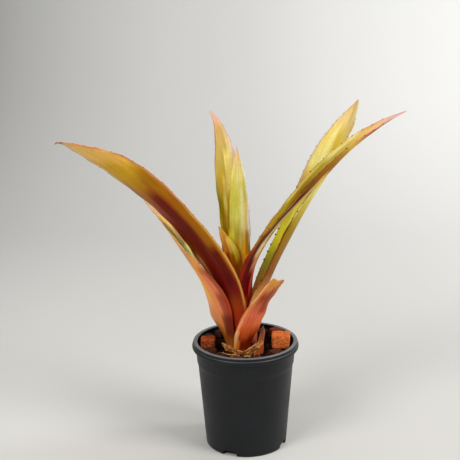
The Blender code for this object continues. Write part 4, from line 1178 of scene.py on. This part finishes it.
def scatter_crumbs(name, count, seed, inner, outer, sizes, material):
    """Lumps of random size, turn and place, each pushed out of round by up to a third."""
    random = np.random.default_rng(seed)
    unit = lump(4, 6)
    jitter = random.uniform(0.66, 1.0, (count, *unit.shape[:2], 1))
    half = sizes[0] + (sizes[1] - sizes[0]) * random.uniform(0, 1, count) ** 2.2
    scale = half[:, None] * np.stack((np.ones(count), random.uniform(0.5, 0.9, count),
                                      random.uniform(0.3, 0.6, count)), 1) * MM
    shapes = unit[None] * jitter * scale[:, None, None, :]
    shapes = np.einsum("nrca,nba->nrcb", shapes, random_turns(random, count))
    distance = np.sqrt(random.uniform((inner / outer) ** 2, 1, count)) * (outer - half * MM)
    angle = random.uniform(0, 2 * math.pi, count)
    x, y = distance * np.cos(angle), distance * np.sin(angle)
    place = np.stack((x, y, mix_height(x, y) + 0.35 * half * MM), 1)
    crumbs = put_in_scene(name, islands_to_faces(shapes + place[:, None, None, :]), material)
    crumbs.data.shade_flat()
    return crumbs


crumbs = scatter_crumbs("mix_crumbs", CRUMBS, CRUMB_SEED, CRUMB_INNER,
                        wall_radius(MIX_TOP * 0.9) - WALL - 0.6 * MM, CRUMB_SIZES, MIX)
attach(crumbs, "root")
print("crumbs:", CRUMBS, "with", len(crumbs.data.polygons), "faces")

# %% [markdown]
# ## Chunks of pine bark
# The top dressing is graded pine bark. A chunk is a broken block of thin corky
# layers: flat-sided, with rounded arrises and ridges where the layers end. The
# solid model holds each chunk as a block with a few flat sides, so the finished
# one is the same block softened: seen from its centre, each side stands at a
# distance h along its normal n, and the surface in a direction d lies at the power
# mean of the h / (n . d). The ridges and pits are added along the normal.

# %% Bark material and chunk surfaces
CHUNK_ROWS = 56
CHUNK_COLUMNS = 96
ARRIS_POWER = 11          # higher keeps the edges of the block sharper
LAYER_PITCH = 2.1 * MM
LAYER_RELIEF = 0.26 * MM
BARK_SINK = 0.25 * MM     # keeps the ridges within the solid


def pine_bark():
    """Layers of cork: rust red to orange where broken, dark and dull where weathered."""
    material, tree, shader = new_material("pine_bark", roughness=0.9, specular_ior_level=0.2)
    tone = add(tree, "Attribute", attribute_name="tone")
    layer = add(tree, "Attribute", attribute_name="layer")
    stretch = add(tree, "Mapping", {
        "Vector": layer.outputs["Vector"], "Scale": (1 / (6 * MM), 1 / (6 * MM), 1 / (1.3 * MM))})
    grain = add(tree, "TexNoise", {
        "Vector": stretch, "Scale": 1.0, "Detail": 5.0, "Roughness": 0.65})
    place = add(tree, "TexCoord")
    pits = add(tree, "TexNoise", {
        "Vector": place.outputs["Object"], "Scale": 1 / (2.2 * MM), "Detail": 4.0})
    mixed = add(tree, "Math", {0: grain, 1: pits}, operation="ADD")
    centred = add(tree, "Math", {0: mixed, 1: -1.0}, operation="ADD")
    swing = add(tree, "Math", {0: centred, 1: 0.8}, operation="MULTIPLY")
    level = add(tree, "Math", {0: swing, 1: tone.outputs["Fac"]}, operation="ADD")
    colour = add(tree, "ValToRGB", {"Fac": level},
                 stops=((0.0, "150805"), (0.25, "3a1a0e"), (0.45, "6e3018"), (0.62, "a84a1e"),
                        (0.8, "cc6a2c"), (1.0, "e0864a")))
    feed(tree, shader, {"Base Color": colour})
    bump = add(tree, "Bump", {
        "Height": mixed, "Strength": 0.6, "Distance": 0.35 * MM})
    feed(tree, shader, {"Normal": bump})
    return material


BARK = pine_bark()
CHUNKS = (
    # node, tone from dark to bright, tilt of the layers in degrees
    ("bark_chip_right", 0.80, 20),
    ("bark_chip_right_rear", 0.42, 70),
    ("bark_chip_rear_right", 0.24, 30),
    ("bark_chip_rear", 0.30, 15),
    ("bark_chip_rear_left", 0.22, 50),
    ("bark_chip_left_rear", 0.24, 80),
    ("bark_chip_left", 0.56, 8),
    ("bark_chip_left_front", 0.22, 40),
    ("bark_chip_front_left", 0.20, 10),
    ("bark_chip_front", 0.26, 60),
    ("bark_chip_front_right", 0.22, 25),
    ("bark_chip_right_front", 0.30, 35),
)


def block_planes(node):
    """The centre of a convex node, and the normal and distance of each of its sides."""
    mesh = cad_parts[node].data
    centre = np.array([corner.co for corner in mesh.vertices]).mean(0)
    normals = np.array([face.normal for face in mesh.polygons])
    middles = np.array([face.center for face in mesh.polygons])
    distances = np.einsum("ij,ij->i", normals, middles - centre)
    sides = np.round(np.column_stack((normals, distances / MM)), 1)
    first = np.unique(sides, axis=0, return_index=True)[1]
    return centre, normals[first], distances[first]


def chunk_surface(node, tilt, seed):
    """Radius along d = (sum over sides of (n . d / h)^p)^(-1/p), then ridges and pits."""
    centre, normals, distances = block_planes(node)
    direction = lump(CHUNK_ROWS, CHUNK_COLUMNS)
    closeness = np.clip(direction @ normals.T, 0, None) / distances
    radius = (closeness**ARRIS_POWER).sum(-1) ** (-1 / ARRIS_POWER)
    points = centre + radius[..., None] * direction
    lean = math.radians(tilt)
    local = points - centre
    spin = 1.9 * seed
    axis = np.array((math.sin(lean) * math.cos(spin), math.sin(lean) * math.sin(spin), math.cos(lean)))
    depth = local @ axis + 0.5 * MM * ripple(points, 9 * MM, seed)
    layered = np.abs(np.sin(math.pi * depth / LAYER_PITCH)) ** 0.6 - 0.6
    pitted = 0.30 * ripple(points, 4.5 * MM, seed + 50) + 0.16 * ripple(points, 1.8 * MM, seed + 90)
    relief = LAYER_RELIEF * (layered + 1.4 * pitted) - BARK_SINK
    points = points + relief[..., None] * direction
    layer = np.stack((local[..., 0], local[..., 1], depth), -1)
    return points, layer


def build_chunk(node, tone, tilt, seed):
    """A chunk's closed surface with its tone and the place in its layers on each vertex."""
    rings, layer = chunk_surface(node, tilt, seed)
    piece = put_in_scene(node + "_chunk", close_tube(rings), BARK)
    layer = np.concatenate((layer.reshape(-1, 3), layer[0].mean(0)[None], layer[-1].mean(0)[None]))
    write_attribute(piece.data, "layer", layer)
    write_attribute(piece.data, "tone", np.full(len(layer), tone))
    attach(piece, "root")
    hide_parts(node)
    return piece


chunks = [build_chunk(*chunk, seed) for seed, chunk in enumerate(CHUNKS)]
print(len(chunks), "bark chunks of", len(chunks[0].data.polygons), "faces")

# %% [markdown]
# ## Dry husk
# Old leaf bases rot down to a husk of tan fibres that curls round the front of the
# crown. Each strip is a thin crumpled ribbon on the path of its solid, and from it
# fray loose fibres: fine tubes that follow the same arc, each with its own sway.

# %% Husk ribbons and fibres


class Husk(NamedTuple):
    """Azimuths in degrees; distance from the crown's hole as a share of the breadth of
    mix round it; lift over the mix, and breadth, in mm."""
    name: str
    start: float
    end: float
    spread: tuple
    lift: tuple
    width: float
    lean: float
    fibres: int


HUSKS = (
    Husk("husk_strip_left", 217, 270, (0.04, 0.10, 0.14, 0.16), (8.0, 6.6, 5.6, 3.8), 6.4, 68, 34),
    Husk("husk_strip_front", 228, 262, (0.28, 0.30, 0.29, 0.27), (2.4, 2.0, 2.0, 2.4), 3.0, 35, 18),
    Husk("husk_strip_right", 275, 318, (0.16, 0.14, 0.11, 0.07), (4.0, 6.4, 8.2, 10.4), 7.6, 66, 60),
    Husk("husk_strip_outer", 272, 300, (0.29, 0.30, 0.31, 0.29), (1.8, 1.6, 1.6, 2.2), 2.6, 25, 18),
)
LAST_RING = 7
HOLE_CLEARANCE = 3.0 * MM
HOLE_RADIUS = ring_radius(LAST_RING) + LEAF_THICKNESS / 2 + HOLE_CLEARANCE
HOLE_FLARE = 1.5 * MM
BED_BREADTH = WALL_RADIUS - WALL - HOLE_RADIUS - HOLE_FLARE
HUSK_ROWS = 90
HUSK_COLUMNS = 13
HUSK_THICKNESS = 0.7 * MM
FIBRE_RADIUS = 0.32 * MM
FIBRE_ROWS = 22
FIBRE_SIDES = 5
FIBRE_STRAY = 2.3 * MM
CRUMPLE = 0.8 * MM
CRUMPLE_LENGTH = 4 * MM
RIB = 0.14 * MM
RIBBON_TONE = 0.12


def husk_fibre():
    """Dead leaf fibre: straw and tan, darker where it is damp, quite matt."""
    material, tree, shader = new_material("dry_husk_fibre", roughness=0.8, specular_ior_level=0.25)
    tone = add(tree, "Attribute", attribute_name="tone")
    place = add(tree, "TexCoord")
    damp = add(tree, "TexNoise", {
        "Vector": place.outputs["Object"], "Scale": 1 / (5 * MM), "Detail": 4.0})
    level = add(tree, "Math", {0: damp, 1: tone.outputs["Fac"]}, operation="ADD")
    colour = add(tree, "ValToRGB", {"Fac": level},
                 stops=((0.2, "4a220e"), (0.45, "8c4e20"), (0.65, "c08442"), (0.9, "e2b678")))
    feed(tree, shader, {"Base Color": colour})
    return material


HUSK = husk_fibre()


def husk_path(husk, share):
    """Middle of the strip, with its directions across and along its normal."""
    knots = np.linspace(0, 1, len(husk.spread))
    spread = np.interp(share, knots, husk.spread) * BED_BREADTH
    lift = np.interp(share, knots, husk.lift) * MM
    azimuth = np.radians(husk.start + (husk.end - husk.start) * share)
    radial = np.stack((np.cos(azimuth), np.sin(azimuth), np.zeros_like(azimuth)), -1)
    middle = radial * (HOLE_RADIUS + spread)[..., None]
    middle[..., :2] += CROWN[:2]
    middle[..., 2] += MIX_TOP + lift
    lean = math.radians(husk.lean)
    upright = np.array((0.0, 0.0, 1.0))
    return (middle, radial * math.cos(lean) + upright * math.sin(lean),
            upright * math.cos(lean) - radial * math.sin(lean))


def husk_ribbon(husk, seed):
    """A closed strip: breadth tapers to torn ends, and the crumple is a ripple."""
    share = np.linspace(0, 1, HUSK_ROWS)
    middle, across, normal = husk_path(husk, share)
    taper = 0.25 + 0.75 * np.sin(math.pi * np.clip(share, 0.05, 0.95))
    ribs = np.linspace(-0.5, 0.5, HUSK_COLUMNS)
    side = np.concatenate((ribs, ribs[::-1]))
    lift = np.concatenate((np.ones(HUSK_COLUMNS), -np.ones(HUSK_COLUMNS))) * HUSK_THICKNESS / 2
    waver, nick = np.sin(40 * share + seed)[:, None], np.sin(97 * share)[:, None]
    torn = 1 + 0.25 * waver * np.abs(side) + 0.2 * nick * side
    reach = side * torn * (husk.width * MM * taper)[:, None]
    points = middle[:, None] + reach[..., None] * across[:, None]
    crumple = CRUMPLE * ripple(points, CRUMPLE_LENGTH, seed) + RIB * np.cos(side * 42)
    return points + (lift + crumple)[..., None] * normal[:, None]


def husk_fibres(husk, seed):
    """Tubes whose middles stray from the strip by a straight offset, a sway and a curl."""
    random = np.random.default_rng(seed)
    count = husk.fibres
    begin = random.uniform(-0.12, 0.45, count)[:, None]
    length = random.uniform(0.35, 0.75, count)[:, None]
    t = np.linspace(0, 1, FIBRE_ROWS)[None, :]
    share = begin + length * t
    middle, across, normal = husk_path(husk, np.clip(share, -0.2, 1.2))
    offset = random.normal(0, 0.8, (count, 1)) * FIBRE_STRAY
    sway = FIBRE_STRAY * random.normal(0, 0.5, (count, 1)) * np.sin(
        random.uniform(2, 6, (count, 1)) * t + random.uniform(0, 6, (count, 1)))
    rise = np.abs(random.normal(0.4, 0.8, (count, 1))) * FIBRE_STRAY * t**2
    middle = middle + (offset + sway)[..., None] * across + rise[..., None] * normal
    middle[..., 2] = np.maximum(middle[..., 2], MIX_TOP - 0.5 * MM)
    turn = np.linspace(0, 2 * math.pi, FIBRE_SIDES, endpoint=False)
    radius = FIBRE_RADIUS * random.uniform(0.6, 1.4, (count, 1)) * (1.05 - t**3)
    ring = np.cos(turn)[:, None] * across[:, :, None] + np.sin(turn)[:, None] * normal[:, :, None]
    return middle[:, :, None] + radius[..., None, None] * ring


def build_husk(husk, seed):
    """Ribbon and fibres in one mesh; each fibre has its own tone."""
    ribbon = close_tube(husk_ribbon(husk, seed))
    fibres = islands_to_faces(husk_fibres(husk, seed + 30))
    piece = put_in_scene(husk.name + "_fibres", merged(ribbon, fibres), HUSK)
    random = np.random.default_rng(seed + 60)
    shade = np.repeat(random.uniform(-0.15, 0.35, husk.fibres), FIBRE_ROWS * FIBRE_SIDES)
    write_attribute(piece.data, "tone", np.concatenate((np.full(len(ribbon[0]), RIBBON_TONE), shade)))
    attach(piece, "root")
    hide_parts(husk.name)
    return piece


husks = [build_husk(husk, seed) for seed, husk in enumerate(HUSKS)]
print(len(husks), "husk strips with", sum(husk.fibres for husk in HUSKS), "loose fibres")

# %% [markdown]
# ## The stem
# The short stem is hidden by the sheaths. Its solid already has the right shape,
# so the solid itself stays and only takes a woody finish.

# %% Woody stem
STEM_GRAIN = (8 * MM, 8 * MM, 1.5 * MM)     # flat grain, so that it reads as rings

# Short woody stem: brown cork with rings where old leaves came away
cork = grained("corky_stem", STEM_GRAIN, ((0.3, "3a1f10"), (0.5, "7a4c28"), (0.7, "a8784a")), 4.0,
               bump=(0.6, 0.4 * MM), roughness=0.85, specular_ior_level=0.2)
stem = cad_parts["stem"]
stem.data.materials.clear()
stem.data.materials.append(cork)
print("stem keeps its solid:", len(stem.data.polygons), "faces")
